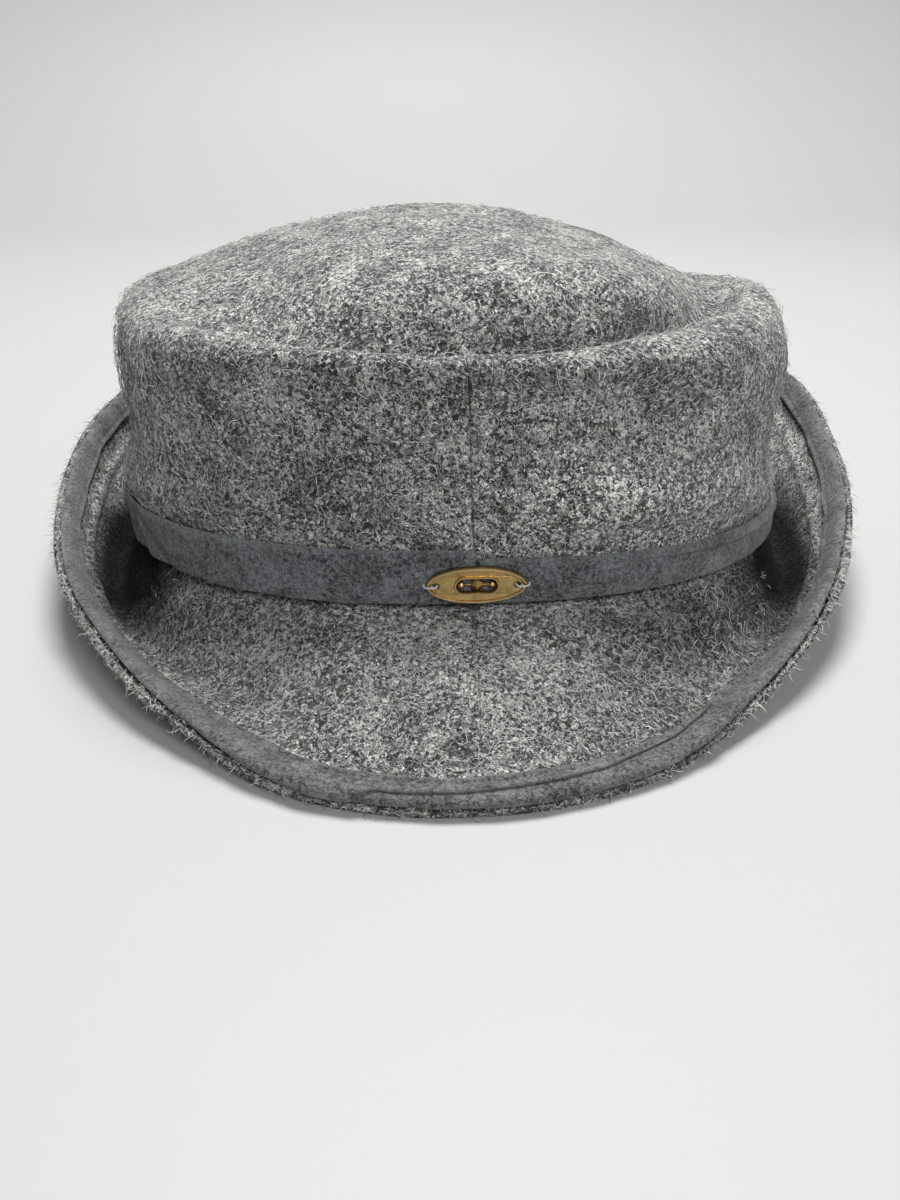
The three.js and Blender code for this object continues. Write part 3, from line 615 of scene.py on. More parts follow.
def strip_azimuths(start, end, steps):
    """Azimuths between two seams, very close together beside each seam."""
    t = np.linspace(0, 1, steps)
    eased = 0.5 - 0.5 * np.cos(np.pi * t)
    near_end = 0.82 * t + 0.18 * eased
    fine = np.array([0.0, 0.0006, 0.0014, 0.0026, 0.0042, 0.0062])
    inner = near_end[(near_end > 0.0075) & (near_end < 1 - 0.0075)]
    shares = np.concatenate([fine, inner, 1 - fine[::-1]])
    return start + (end - start) * shares[:, None]


# Materials: scales are in waves per metre, and colour ramps pair a value with a colour

PATCH_SCALE = 95
FLECK_SCALE = 1000
GRAIN_SCALE = 2700
WOOL_COLOURS = [
    (0.465, (0.012, 0.012, 0.0115, 1)),
    (0.51, (0.120, 0.119, 0.114, 1)),
    (0.548, (0.66, 0.65, 0.61, 1)),
]
FIBRE_COLOUR = (0.70, 0.69, 0.65, 1)
FIBRE_COLOURS = [
    (0.0, (0.05, 0.05, 0.052, 1)),
    (0.30, (0.34, 0.335, 0.32, 1)),
    (1.0, (0.86, 0.85, 0.81, 1)),
]
BAND_COLOURS = [(0.42, (0.018, 0.0205, 0.0215, 1)), (0.60, (0.214, 0.231, 0.241, 1))]
TRIM_COLOURS = [(0.42, (0.018, 0.019, 0.0195, 1)), (0.60, (0.205, 0.212, 0.213, 1))]
WORN_SUEDE_COLOUR = (0.21, 0.215, 0.22, 1)
SHEEN_COLOUR = (0.8, 0.8, 0.8, 1)
BRASS_COLOURS = [
    (0.22, (0.035, 0.022, 0.010, 1)),
    (0.52, (0.22, 0.135, 0.045, 1)),
    (0.86, (0.60, 0.43, 0.19, 1)),
]
THREAD_COLOURS = [(0.3, (0.30, 0.30, 0.30, 1)), (0.7, (0.62, 0.62, 0.60, 1))]
FLOOR_COLOUR = (0.415, 0.415, 0.412, 1)

# Layers of curly fibres drawn on the wool: scale, thinness and turn
WOOL_CURLS = [
    (380, 0.030, (0.3, 0.9, 0.2)),
    (560, 0.040, (1.2, 0.1, 0.7)),
    (800, 0.052, (2.1, 0.5, 1.6)),
]


class Nodes:
    """Short ways to add and join the nodes of a material."""

    def __init__(self, name):
        self.material = bpy.data.materials.new(name)
        self.material.use_nodes = True
        self.tree = self.material.node_tree
        self.shader = self.tree.nodes["Principled BSDF"]

    def put(self, socket, value):
        if hasattr(value, "is_linked"):
            self.tree.links.new(value, socket)
        else:
            socket.default_value = value

    def add(self, kind, inputs, output, **settings):
        """Add a node, set or join its inputs, and give back one of its outputs."""
        node = self.tree.nodes.new(kind)
        for name, value in settings.items():
            setattr(node, name, value)
        for name, value in inputs.items():
            self.put(node.inputs[name], value)
        return node.outputs[output]

    def place(self, stretch=(1, 1, 1), turn=(0, 0, 0)):
        place = self.add("ShaderNodeTexCoord", {}, "Object")
        inputs = {"Vector": place, "Scale": stretch, "Rotation": turn}
        return self.add("ShaderNodeMapping", inputs, "Vector")

    def noise(self, vector, scale, detail=2.0, roughness=0.5, distortion=0.0):
        inputs = {"Vector": vector, "Scale": scale, "Detail": detail, "Roughness": roughness,
                  "Distortion": distortion}
        return self.add("ShaderNodeTexNoise", inputs, "Fac")

    def number(self, operation, *values):
        inputs = dict(enumerate(values))
        return self.add("ShaderNodeMath", inputs, "Value", operation=operation)

    def blend(self, *shares):
        """Sum of values, each times its share, added from the last to the first."""
        value, share = shares[-1]
        total = self.number("MULTIPLY", value, share)
        for value, share in shares[-2::-1]:
            total = self.number("MULTIPLY_ADD", value, share, total)
        return total

    def spread(self, value, low, high, to_low=0.0, to_high=1.0):
        inputs = {"Value": value, "From Min": low, "From Max": high, "To Min": to_low,
                  "To Max": to_high}
        return self.add("ShaderNodeMapRange", inputs, "Result")

    def ramp(self, value, stops):
        node = self.tree.nodes.new("ShaderNodeValToRGB")
        elements = node.color_ramp.elements
        while len(elements) < len(stops):
            elements.new(0.5)
        for element, (position, colour) in zip(elements, stops):
            element.position = position
            element.color = colour
        self.put(node.inputs["Fac"], value)
        return node.outputs["Color"]

    def mix(self, share, first, second, blend="MIX"):
        inputs = {0: share, 6: first, 7: second}
        return self.add("ShaderNodeMix", inputs, 2, data_type="RGBA", blend_type=blend)

    def attribute(self, name):
        return self.add("ShaderNodeAttribute", {}, "Fac", attribute_name=name)

    def bump(self, height, distance, strength=1.0, **below):
        inputs = {"Height": height, "Distance": distance, "Strength": strength, **below}
        return self.add("ShaderNodeBump", inputs, "Normal")

    def shade(self, **values):
        for name, value in values.items():
            self.put(self.shader.inputs[name.replace("_", " ")], value)


def curls(nodes, scale, thinness, turn):
    """Thin curly lines, as fibres that lie in all directions on a felted cloth."""
    vector = nodes.place(turn=turn)
    field = nodes.noise(vector, scale, detail=1.0, roughness=0.4, distortion=0.9)
    away = nodes.number("ABSOLUTE", nodes.number("SUBTRACT", field, 0.5))
    line = nodes.spread(away, 0, thinness, 1, 0)
    breaks = nodes.noise(vector, scale * 0.8, detail=1.0)
    return nodes.number("MULTIPLY", line, nodes.spread(breaks, 0.42, 0.6))


def wool_material(name):
    """Felted wool: dark and light flecks, cloudy patches and curly fibres lying on top, with
    painted shade and painted light laid on from a mesh attribute.
    """
    nodes = Nodes(name)
    vector = nodes.place()
    patches = nodes.noise(vector, PATCH_SCALE, detail=3.0, roughness=0.6)
    flecks = nodes.noise(vector, FLECK_SCALE, detail=3.0, roughness=0.75, distortion=0.8)
    grain = nodes.noise(vector, GRAIN_SCALE, detail=2.0, roughness=0.6)
    mixed = nodes.blend((patches, 0.22), (flecks, 0.78))
    base = nodes.ramp(mixed, WOOL_COLOURS)
    fine = nodes.spread(grain, 0.34, 0.66, 0.35, 1.7)
    tinted = nodes.mix(1.0, base, fine, "MULTIPLY")
    fibres = [curls(nodes, *row) for row in WOOL_CURLS]
    bright = nodes.number("MAXIMUM", nodes.number("MAXIMUM", *fibres[:2]), fibres[2])
    covered = nodes.mix(nodes.number("MULTIPLY", bright, 0.8), tinted, FIBRE_COLOUR)
    # Painted shade and light: the mesh attribute darkens the colour as it rises and lightens it
    # where it is negative
    painted_shading_tint = nodes.spread(nodes.attribute("painted_shading"), -0.5, 1, 1.5, 0.05)
    colour = nodes.mix(1.0, covered, painted_shading_tint, "MULTIPLY")
    height = nodes.blend((grain, 0.5), (bright, 0.5), (flecks, 1.1))
    lumps = nodes.bump(patches, 0.0012, 0.5)
    nodes.shade(
        Base_Color=colour,
        Roughness=0.93,
        Normal=nodes.bump(height, 0.0011, Normal=lumps),
        # Less sheen where shade is painted
        Sheen_Weight=nodes.spread(nodes.attribute("painted_shading"), 0, 1, 0.25, 0),
        Sheen_Roughness=0.55,
        Sheen_Tint=SHEEN_COLOUR,
        Specular_IOR_Level=0.2,
    )
    return nodes.material


def suede_material(name, colours):
    """Napped suede, cloudy, with fine pores and paler where its edges are worn."""
    nodes = Nodes(name)
    vector = nodes.place()
    cloudy = nodes.noise(vector, 150, detail=4.0, roughness=0.6, distortion=0.6)
    nap = nodes.noise(vector, 2600, detail=3.0, roughness=0.7)
    pores = nodes.noise(vector, 1100, detail=2.0, roughness=0.5, distortion=0.5)
    mixed = nodes.blend((cloudy, 0.25), (nap, 0.4), (pores, 0.35))
    base = nodes.ramp(mixed, colours)
    worn = nodes.number("MULTIPLY", nodes.attribute("edge"), 0.35)
    height = nodes.blend((nap, 0.6), (pores, 0.7))
    soft = nodes.bump(cloudy, 0.0010, 0.4)
    nodes.shade(
        Base_Color=nodes.mix(worn, base, WORN_SUEDE_COLOUR),
        Roughness=0.9,
        Normal=nodes.bump(height, 0.0008, Normal=soft),
        Sheen_Weight=0.3,
        Sheen_Roughness=0.45,
        Sheen_Tint=SHEEN_COLOUR,
        Specular_IOR_Level=0.25,
    )
    return nodes.material


def brass_material(name):
    """Old brass, dark in its low places and bright where it is rubbed."""
    nodes = Nodes(name)
    vector = nodes.place()
    stains = nodes.noise(vector, 700, detail=4.0, roughness=0.65)
    scratches = nodes.noise(nodes.place((1, 6, 6), (0, 0, 0.2)), 1800, detail=2.0)
    wear = nodes.blend((stains, 0.5), (nodes.attribute("height"), 0.75))
    nodes.shade(
        Base_Color=nodes.ramp(wear, BRASS_COLOURS),
        Roughness=nodes.spread(wear, 0.2, 0.95, 0.62, 0.26),
        Metallic=nodes.spread(wear, 0.2, 0.5, 0.55, 1.0),
        Normal=nodes.bump(scratches, 0.00004, 0.5, Normal=nodes.bump(stains, 0.00012, 0.5)),
    )
    return nodes.material


def thread_material(name):
    nodes = Nodes(name)
    strands = nodes.noise(nodes.place(), 5200, detail=2.0)
    nodes.shade(
        Base_Color=nodes.ramp(strands, THREAD_COLOURS),
        Roughness=0.7,
        Normal=nodes.bump(strands, 0.00008, 0.6),
        Sheen_Weight=0.3,
    )
    return nodes.material


def fibre_material(name):
    nodes = Nodes(name)
    colour = nodes.ramp(nodes.attribute("tone"), FIBRE_COLOURS)
    nodes.shade(Base_Color=colour, Roughness=0.75, Specular_IOR_Level=0.3)
    return nodes.material


wool = wool_material("wool_melton")
band_suede = suede_material("suede_blue_grey", BAND_COLOURS)
trim_suede = suede_material("suede_grey", TRIM_COLOURS)
brass = brass_material("antique_brass")
thread = thread_material("thread_grey")
fibre = fibre_material("wool_fibre")

soft_waves = Waves(3, 26)
small_waves = Waves(8, 9)


def wool_relief(points):
    """Slight unevenness of soft cloth, in millimetres."""
    return SLOW_RELIEF * soft_waves.at(points) + QUICK_RELIEF * small_waves.at(points)


# Soft spots: how much, where round the hat from the front and how wide there, where along
# the section and how wide there, and how that place moves with the azimuth
SPOT = ["amount", "turn", "turnWidth", "along", "alongWidth", "slant"]
CROWN_SPOTS = table(SPOT, [
    [2.3, 19, 10, 2.2, 0.55, 0],
    [-2.2, 22, 12, 3.9, 0.8, 0],
    [-1.8, -27, 15, 2.9, 0.9, 0],
    [-0.9, 72, 9, 3.1, 0.35, 0.02],
    [-0.6, -66, 10, 3.4, 0.45, -0.02],
    [-0.5, -20, 12, 3.6, 0.6, 0],
])
# Painted shade on the crown's wool where the amount is positive and painted light where it is
# negative, in the columns of the soft spots
CROWN_PAINTED_SHADING = table(SPOT, [
    [0.40, 8, 40, 4.7, 0.7, 0],
    [0.30, -30, 16, 2.4, 1.2, 0],
    [-0.5, 14, 10, 2.2, 0.9, 0],
    [-0.22, 40, 16, 2.4, 1.3, 0],
])
BRIM_SPOTS = table(SPOT, [
    [1.0, 22, 14, 10, 3, 0],
    [-2.6, 28, 15, 16, 3, 0],
])


def spots(rows, azimuth, along):
    """Sum of soft spots; a cloth's along is its station or its distance in millimetres."""
    turn = from_front(azimuth)
    total = 0
    for amount, middle, width, place, reach, slant in zip(*rows.values()):
        there = bell(along, place + (turn - middle) * slant, reach)
        total = total + amount * bell(turn, middle, width) * there
    return total


def leaning(azimuth, station, lean):
    """Azimuths moved so that the front seam leans over toward its upper end."""
    return azimuth - lean * station * bell(from_front(azimuth), 0, LEAN_WIDTH)


def from_ends(points, axis):
    """Distance along a grid of points from the nearer of its two ends."""
    return np.minimum(from_start(points, axis), from_end(points, axis))


def side_azimuths(start, end):
    """Azimuths of one half of the hat, from seam to seam."""
    slit = math.degrees(SEAM_SLIT / (HEAD_LENGTH / 2))
    return strip_azimuths(start + slit, end - slit, SIDE_STEPS)


def sewn_faces(points, normal, wall, full, rise):
    """Outer and inner face of a ply that is as full as given and raised on its outside."""
    half = wall / 2
    kept = half * (1 - EDGE_SHARE)
    front = points + normal * ((full - 1) * kept + rise)[..., None]
    back = points - normal * (half + kept * full)[..., None]
    return front, back


# Crown

def add_crown_side(name, start, end, node):
    wall = np.linspace(0, 5, WALL_STEPS)[:-1]
    station = np.concatenate([wall, np.linspace(5, TIP_SEAM, SHOULDER_STEPS)])[None]
    azimuth, station = np.broadcast_arrays(side_azimuths(start, end), station)
    azimuth = leaning(azimuth, station, CROWN_SEAM_LEAN)
    points = crown.at(azimuth, station)
    seam = quarter_round(from_ends(points, 0), CROWN_SEAM_ROUND)
    lip = quarter_round(from_end(points, 1), TIP_SEAM_ROUND)
    full = (1 - SEAM_DEPTH * (1 - seam)) * (1 - TIP_SEAM_DEPTH * (1 - lip))
    rise = (wool_relief(points) + spots(CROWN_SPOTS, azimuth, station)) * seam
    rise = rise + SEAM_RIDGE * bell(from_ends(points, 0), 2.0, 1.1)
    normal = crown.normal(azimuth, station)
    front, back = sewn_faces(points, normal, CROWN_WALL, full, rise)
    # Painted shade and light for the crown's wool colour
    painted_shading = spots(CROWN_PAINTED_SHADING, azimuth, station)
    piece = add_shell(name, front, back, False, wool, {"painted_shading": painted_shading})
    stand_for(piece, node)


def add_crown_tip():
    azimuth = ring_azimuths(RING_STEPS)
    run = np.linalg.norm(crown.run(azimuth, np.full_like(azimuth, TIP_SEAM)), axis=-1)
    start = TIP_SEAM + TIP_SEAM_SLIT / run
    share = np.concatenate([np.linspace(0, 0.12, 12)[:-1], np.linspace(0.12, 1, 52)])[None]
    station = start + (CROWN_CENTRE - 0.02 - start) * share
    azimuth, station = np.broadcast_arrays(azimuth, station)
    points = crown.at(azimuth, station)
    lip = quarter_round(from_start(points, 1), TIP_SEAM_ROUND)
    full = 1 - TIP_SEAM_DEPTH * (1 - lip)
    rise = wool_relief(points) * full * smooth_step(CROWN_CENTRE - station, 0, 1)
    normal = crown.normal(azimuth, station)
    front, back = sewn_faces(points, normal, CROWN_WALL, full, rise)
    stand_for(add_shell("crown_top_wool", front, back, True, wool), "crown_tip")


# Brim

# Rows of a ridge and two grooves inside the rim: height, distance in from the trim, width
BRIM_RIDGES = [(0.8, 3.5, 1.5), (-0.5, 0.8, 1.1), (-0.6, 6.5, 1.2)]


def brim_relief(azimuth, points):
    """The rows inside the rim, and a bulge and a crease at the right front, with waves."""
    sides = smooth_step(np.abs(from_front(azimuth)), 25, 50)
    from_rim = from_end(points, 1)
    ridge = sum(rise * bell(from_rim, TRIM_WIDTH + inside, width)
                for rise, inside, width in BRIM_RIDGES)
    crease = spots(BRIM_SPOTS, azimuth, from_start(points, 1))
    return wool_relief(points) + ridge * (0.35 + 0.65 * sides) + crease


def gutter(azimuth, station):
    """How deep in the hollow between crown and brim a place lies; it is shallower behind."""
    turn = np.abs(from_front(azimuth))
    top = 4.5 - 0.9 * smooth_step(turn, 85, 125)
    return smooth_step(turn, 36, 66) * (1 - smooth_step(station, top - 1.1, top))


def brim_painted_shade(azimuth, station, points):
    """How much painted shade lies on the brim's wool: in the hollow and the creases beside the
    crown, and over the outer brim beside the front on the +X side.
    """
    turn = from_front(azimuth)
    from_head = from_start(points, 1)
    right = 0.55 * bell(from_head, 8, 8) * smooth_step(turn, 4, 30)
    right += 0.45 * bell(from_head, 19, 8) * bell(turn, 34, 19)
    right += 0.36 * smooth_step(from_head, 18, 32) * bell(turn, 26, 26)
    left = 0.40 * bell(from_head, 8, 8) * smooth_step(-turn, 6, 36)
    return np.clip(gutter(azimuth, station) + right + left, 0, 1)


def add_brim_top(name, start, end, node):
    station = np.linspace(0, RIM, BRIM_STEPS)[None]
    azimuth, station = np.broadcast_arrays(side_azimuths(start, end), station)
    azimuth = leaning(azimuth, station, BRIM_SEAM_LEAN)
    points = brim.at(azimuth, station)
    from_rim = from_end(points, 1)
    seam = quarter_round(from_ends(points, 0), BRIM_SEAM_ROUND)
    rim = quarter_round(from_rim, RIM_ROUND)
    full = (1 - SEAM_DEPTH * (1 - seam)) * (1 - RIM_DEPTH * (1 - rim))
    under_trim = smooth_step(from_rim, TRIM_WIDTH - 1, TRIM_WIDTH + 1.5)
    rise = brim_relief(azimuth, points) * seam * under_trim
    front, back = sewn_faces(points, brim.normal(azimuth, station), BRIM_PLY, full, rise)
    # Painted shade for the brim's wool colour
    painted_shading = brim_painted_shade(azimuth, station, points)
    piece = add_shell(name, front, back, False, wool, {"painted_shading": painted_shading})
    stand_for(piece, node)


def add_brim_under():
    """The under ply, whose outer edge swells into a rounded hem."""
    azimuth = ring_azimuths(RING_STEPS)
    station = np.linspace(0, RIM, UNDER_STEPS)[None]
    azimuth, station = np.broadcast_arrays(azimuth, station)
    points = brim.at(azimuth, station)
    normal = brim.normal(azimuth, station)
    top = -(BRIM_PLY + GAP)
    front = points + normal * top
    back = points - normal * BRIM_STACK
    first = azimuth[:, :1]
    rim = np.full_like(first, RIM)
    outward = unit(brim.run(first, rim))
    edge = brim.at(first, rim)
    across = brim.normal(first, rim)
    reach = HEM_REACH * shown_hem(first)
    rise = HEM_RISE * shown_hem(first)
    turn = np.linspace(0, 1, 9)[None, 1:]
    swell = np.sin(np.pi * 0.5 * np.minimum(turn * 1.4, 1))
    close = np.sqrt(np.clip(1 - turn**3, 0, 1))
    middle = (top - BRIM_STACK) / 2 + rise * HEM_FULLEST * swell
    half_front = (top + rise * swell - middle) * close + HEM_LEAST
    half_back = (middle + BRIM_STACK) * close + HEM_LEAST
    out = outward * (reach * np.sin(np.pi / 2 * turn))[..., None]
    hem_front = edge + out + across * (middle + half_front)[..., None]
    hem_back = edge + out + across * (middle - half_back)[..., None]
    front = np.concatenate([front, hem_front], 1)
    back = np.concatenate([back, hem_back], 1)
    waves = wool_relief(back) * smooth_step(back[..., 2], 0.4, 3)
    normal = np.concatenate([normal, np.repeat(across, turn.shape[1], 1)], 1)
    back = back + normal * np.minimum(waves, UNDER_RELIEF)[..., None]
    back[..., 2] = np.maximum(back[..., 2], 0)
    across_ply = np.broadcast_to(np.linspace(0, 1, front.shape[1]), front.shape[:2])
    # Painted shade on the outer part of the under ply and its hem
    painted_shading = HEM_PAINTED_SHADE * smooth_step(across_ply, 0.7, 0.9)
    piece = add_shell("brim_under_wool", front, back, True, wool, {"painted_shading": painted_shading})
    stand_for(piece, "brim_under")


# Suede

def station_from_rim(azimuth, distance):
    """Station of the brim that lies a given distance in from the rim."""
    fine = np.linspace(2, RIM, 160)[None]
    grid, stations = np.broadcast_arrays(azimuth, fine)
    left = from_end(brim.at(grid, stations), 1)
    found = [np.interp(d, row[::-1], fine[0][::-1]) for d, row in zip(distance, left)]
    return np.array(found)


def add_trim():
    """A strip along the rim that goes round the brim's edge, but not where its end tapers."""
    end = FULL_TURN + TRIM_OVER_END
    azimuth = np.linspace(TRIM_UNDER_END, end, RING_STEPS + 60)[:, None]
    taper = np.clip((azimuth - (end - TRIM_OVER_TAPER)) / TRIM_OVER_TAPER, 0, 1)
    climb_start = FULL_TURN + TRIM_CLIMB_START
    climb = smooth_step(azimuth, climb_start, climb_start + TRIM_CLIMB)
    lift = TRIM_GAP + climb * (TRIM_THICKNESS * 0.9 + 0.1)
    wander = sum(cut * np.sin(np.radians(azimuth) * waves) for cut, waves in TRIM_WANDER)
    inner = TRIM_WIDTH * brim_share("trim", azimuth) + wander
    half = TRIM_THICKNESS / 2
    corner = np.pi / 2 * (lift + half)
    wrap = TRIM_WRAP * np.minimum(brim_share("wrap", azimuth), MOST_WRAP)
    wrapped = (corner + wrap) * (1 - smooth_step(taper, 0, 0.06))
    width = inner * (1 - (1 - TRIM_TAPERED_SHARE) * taper) + wrapped
    across = 0.5 - 0.5 * np.cos(np.linspace(0, np.pi, 26))[None]
    run = width * across
    station = station_from_rim(azimuth, np.maximum(inner - run, 0))
    beyond = np.maximum(run - inner, 0)
    turn = np.minimum(beyond / (lift + half), np.pi / 2)[..., None]
    down = np.maximum(beyond - corner, 0)[..., None]
    azimuth = np.broadcast_to(azimuth, station.shape)
    normal = brim.normal(azimuth, station)
    outward = unit(brim.run(azimuth, station))
    facing_out = normal * np.cos(turn) + outward * np.sin(turn)
    points = brim.at(azimuth, station) - normal * down
    from_edge = np.minimum(across, 1 - across) * width
    thick = half * (EDGE_SHARE + quarter_round(from_edge, TRIM_EDGE_ROUND))
    stitched = TRIM_STITCH_DEPTH * bell(run, TRIM_STITCH_IN, 0.5)
    middle = lift + half + TRIM_RELIEF * small_waves.at(points)
    front = points + facing_out * (middle + thick - stitched)[..., None]
    back = points + facing_out * (middle - thick)[..., None]
    front[..., 2] = np.maximum(front[..., 2], 0.1)
    back[..., 2] = np.maximum(back[..., 2], 0.1)
    worn = 1 - quarter_round(from_edge, TRIM_WORN)
    piece = add_shell("trim_suede", front, back, False, trim_suede, {"edge": worn})
    stand_for(piece, "brim_trim")


def station_above(azimuth, height):
    """Station of the crown wall at a given height above the headline."""
    fine = np.linspace(0, TIP_SEAM - 2, 120)[None]
    grid, stations = np.broadcast_arrays(azimuth, fine)
    levels = crown.section(grid, stations)[1]
    levels = levels - levels[:, :1]
    found = [np.interp(h, np.maximum.accumulate(row), fine[0]) for h, row in zip(height, levels)]
    return np.array(found)


# Slanting folds near the band's left end: azimuth, slant and depth
BAND_FOLDS = [(-61, 8, 0.8), (-54, 11.2, 0.8), (-30, 4.8, 0.45)]


def band_folds(azimuth, share):
    """Grooves and rolls pressed into the soft band, in millimetres."""
    turn = from_front(azimuth)
    right = smooth_step(turn, 8, 30) * (1 - smooth_step(turn, 88, 110))
    line = 0.80 - 0.30 * smooth_step(turn, 10, 70)
    folds = right * (0.45 * bell(share, line + 0.17, 0.10) - 0.85 * bell(share, line, 0.055))
    for middle, slant, depth in BAND_FOLDS:
        folds = folds - depth * bell(turn + slant * (share - 0.6), middle, 2.2)
    return folds - 0.25 * bell(share, 0.30, 0.08) * smooth_step(-turn, 4, 40)


def add_band():
    slit = math.degrees(GAP / (HEAD_LENGTH / 2))
    azimuth = np.linspace(slit, FULL_TURN - slit, RING_STEPS + 40)[:, None]
    share = (0.5 - 0.5 * np.cos(np.linspace(0, np.pi, 30)))[None]
    tall = BAND_HEIGHT * along(BAND, "top", azimuth) - BAND_LIFT
    puff = BAND_THICKNESS * along(BAND, "puff", azimuth)
    station = station_above(azimuth, BAND_LIFT + tall * share)
    azimuth, share = np.broadcast_arrays(azimuth, share)
    points = crown.at(azimuth, station)
    normal = crown.normal(azimuth, station)
    from_top = (1 - share) * tall
    ends = 0.35 + 0.65 * quarter_round(from_ends(points, 0), BAND_END_ROUND)
    low = quarter_round(share * tall, BAND_FOOT_ROUND)
    full = quarter_round(from_top, BAND_TOP_ROUND) * low * ends
    thick = puff * (0.9 + 0.2 * bell(share, 0.45, 0.35)) * full
    folds = band_folds(azimuth, share) + BAND_RELIEF * small_waves.at(points)
    proud = BAND_LEAST + np.maximum(thick + folds * full, 0)
    front = points + normal * (GAP + proud)[..., None]
    back = points + normal * GAP
    worn = 1 - quarter_round(from_top, BAND_WORN)
    piece = add_shell("band_suede", front, back, False, band_suede, {"edge": worn})
    stand_for(piece, "hat_band")


# Badge: drawn flat, x along the band, y up and z out, and then bent onto it

def bent_onto_band(flat):
    """Points of the flat badge, carried round the band's front."""
    middle = BAND_LIFT + (BAND_HEIGHT * along(BAND, "top", 0) - BAND_LIFT) / 2
    seat = 2 * GAP + BAND_THICKNESS * along(BAND, "puff", FULL_TURN)
    azimuth = np.degrees(flat[:, :1] / (HEAD_LENGTH / 2 + seat))
    station = station_above(azimuth, np.full_like(azimuth, middle))
    foot = crown.at(azimuth, station)[:, 0]
    up = unit(crown.run(azimuth, station))[:, 0]
    out = crown.normal(azimuth, station)[:, 0]
    return foot + up * flat[:, 1:2] + out * (seat + flat[:, 2:3])


def oval_path(length, height, count):
    t = np.linspace(0, 2 * np.pi, count, endpoint=False)
    return np.stack([np.cos(t) * length / 2, np.sin(t) * height / 2], -1)


def stadium_path(length, height, count):
    r = height / 2
    reach = length / 2 - r
    t = np.linspace(-np.pi / 2, np.pi / 2, count // 2)
    right = np.stack([reach + r * np.cos(t), r * np.sin(t)], -1)
    return np.concatenate([right, -right])


def bead_along(path, width, low, high, steps=8):
    """A rounded bead with a flat foot, swept along a closed flat path."""
    ahead = np.roll(path, -1, 0) - np.roll(path, 1, 0)
    side = unit(np.stack([ahead[:, 1], -ahead[:, 0]], -1))
    t = np.linspace(0, np.pi, steps)
    across = np.concatenate([[width / 2], np.cos(t) * width / 2, [-width / 2]])
    crest = low + (high - low) * 0.35
    up = np.concatenate([[low], crest + (high - crest) * np.sin(t), [low]])
    xy = path[:, None] + side[:, None] * across[None, :, None]
    z = np.broadcast_to(up[None, :, None], xy.shape[:2] + (1,))
    points = np.concatenate([xy, z], -1)
    n, m = points.shape[:2]
    start = np.arange(n) * m
    k = np.arange(m)
    a = start[:, None] + k
    b = np.roll(start, -1)[:, None] + k
    faces = np.stack([a, b, np.roll(b, -1, 1), np.roll(a, -1, 1)], -1).reshape(-1, 4)
    return points.reshape(-1, 3), faces


def plate_with_holes():
    """The badge's floor, pierced by the window and by a hole at each end."""
    curve = bpy.data.curves.new("badge_outline", "CURVE")
    curve.dimensions = "2D"
    curve.fill_mode = "BOTH"
    outlines = [
        oval_path(BADGE_LENGTH - 0.3, BADGE_HEIGHT - 0.3, 96),
        stadium_path(WINDOW_LENGTH - WINDOW_FRAME, WINDOW_HEIGHT - WINDOW_FRAME, 40),
    ]
    for side in (-1, 1):
        hole = oval_path(BADGE_HOLE, BADGE_HOLE, 24)
        outlines.append(hole + [side * BADGE_HOLE_SPACING / 2, 0])
    for outline in outlines:
        spline = curve.splines.new("POLY")
        spline.points.add(len(outline) - 1)
        spline.points.foreach_set(
            "co", np.concatenate([outline, np.zeros_like(outline)], 1).ravel()
        )
        spline.use_cyclic_u = True
    curve.extrude = BADGE_PLATE / 2 - BADGE_BEVEL
    curve.bevel_depth = BADGE_BEVEL
    curve.bevel_resolution = 1
    holder = bpy.data.objects.new("badge_outline", curve)
    bpy.context.scene.collection.objects.link(holder)
    depsgraph = bpy.context.evaluated_depsgraph_get()
    made = holder.evaluated_get(depsgraph).to_mesh()
    points = np.array([v.co for v in made.vertices], float)
    points[:, 2] += BADGE_PLATE / 2
    made.calc_loop_triangles()
    faces = np.array([t.vertices for t in made.loop_triangles], int)
    bpy.data.objects.remove(holder)
    bpy.data.curves.remove(curve)
    return points, faces


def dome(outline, low, high, rings=6, power=0.5):
    """A closed raised form over an outline, its height falling to the edge."""
    n = len(outline)
    t = np.arange(rings) / rings
    levels = np.concatenate([[low], low + (high - low) * (0.25 + 0.75 * t**power)])
    sizes = np.concatenate([[1], 1 - t])
    rows = [np.column_stack([outline * size, np.full(n, level)])
            for size, level in zip(sizes, levels)]
    middle = outline.mean(0)
    points = np.concatenate([*rows, [[*middle, high]], [[*middle, low]]])
    k = np.arange(n)
    after = np.roll(k, -1)
    faces = [np.stack([k, after, after + n, k + n], -1) + i * n for i in range(rings)]
    last = rings * n
    top = np.full(n, len(points) - 2)
    faces.append(np.stack([last + k, last + after, top, top], -1))
    faces.append(np.stack([after, k, top + 1, top + 1], -1))
    return points, np.concatenate(faces)


def as_triangles(faces):
    if faces.shape[1] == 3:
        return faces
    split = np.concatenate([faces[:, [0, 1, 2]], faces[:, [0, 2, 3]]])
    return split[(split[:, 1] != split[:, 2]) & (split[:, 0] != split[:, 2])]


def joined(parts):
    """Closed forms as one mesh of triangles, each facing outward."""
    points = []
    faces = []
    count = 0
    for some_points, some_faces in parts:
        some_faces = as_triangles(some_faces)
        if signed_volume(some_points, some_faces) < 0:
            some_faces = some_faces[:, ::-1]
        points.append(some_points)
        faces.append(some_faces + count)
        count += len(some_points)
    return np.concatenate(points), np.concatenate(faces)


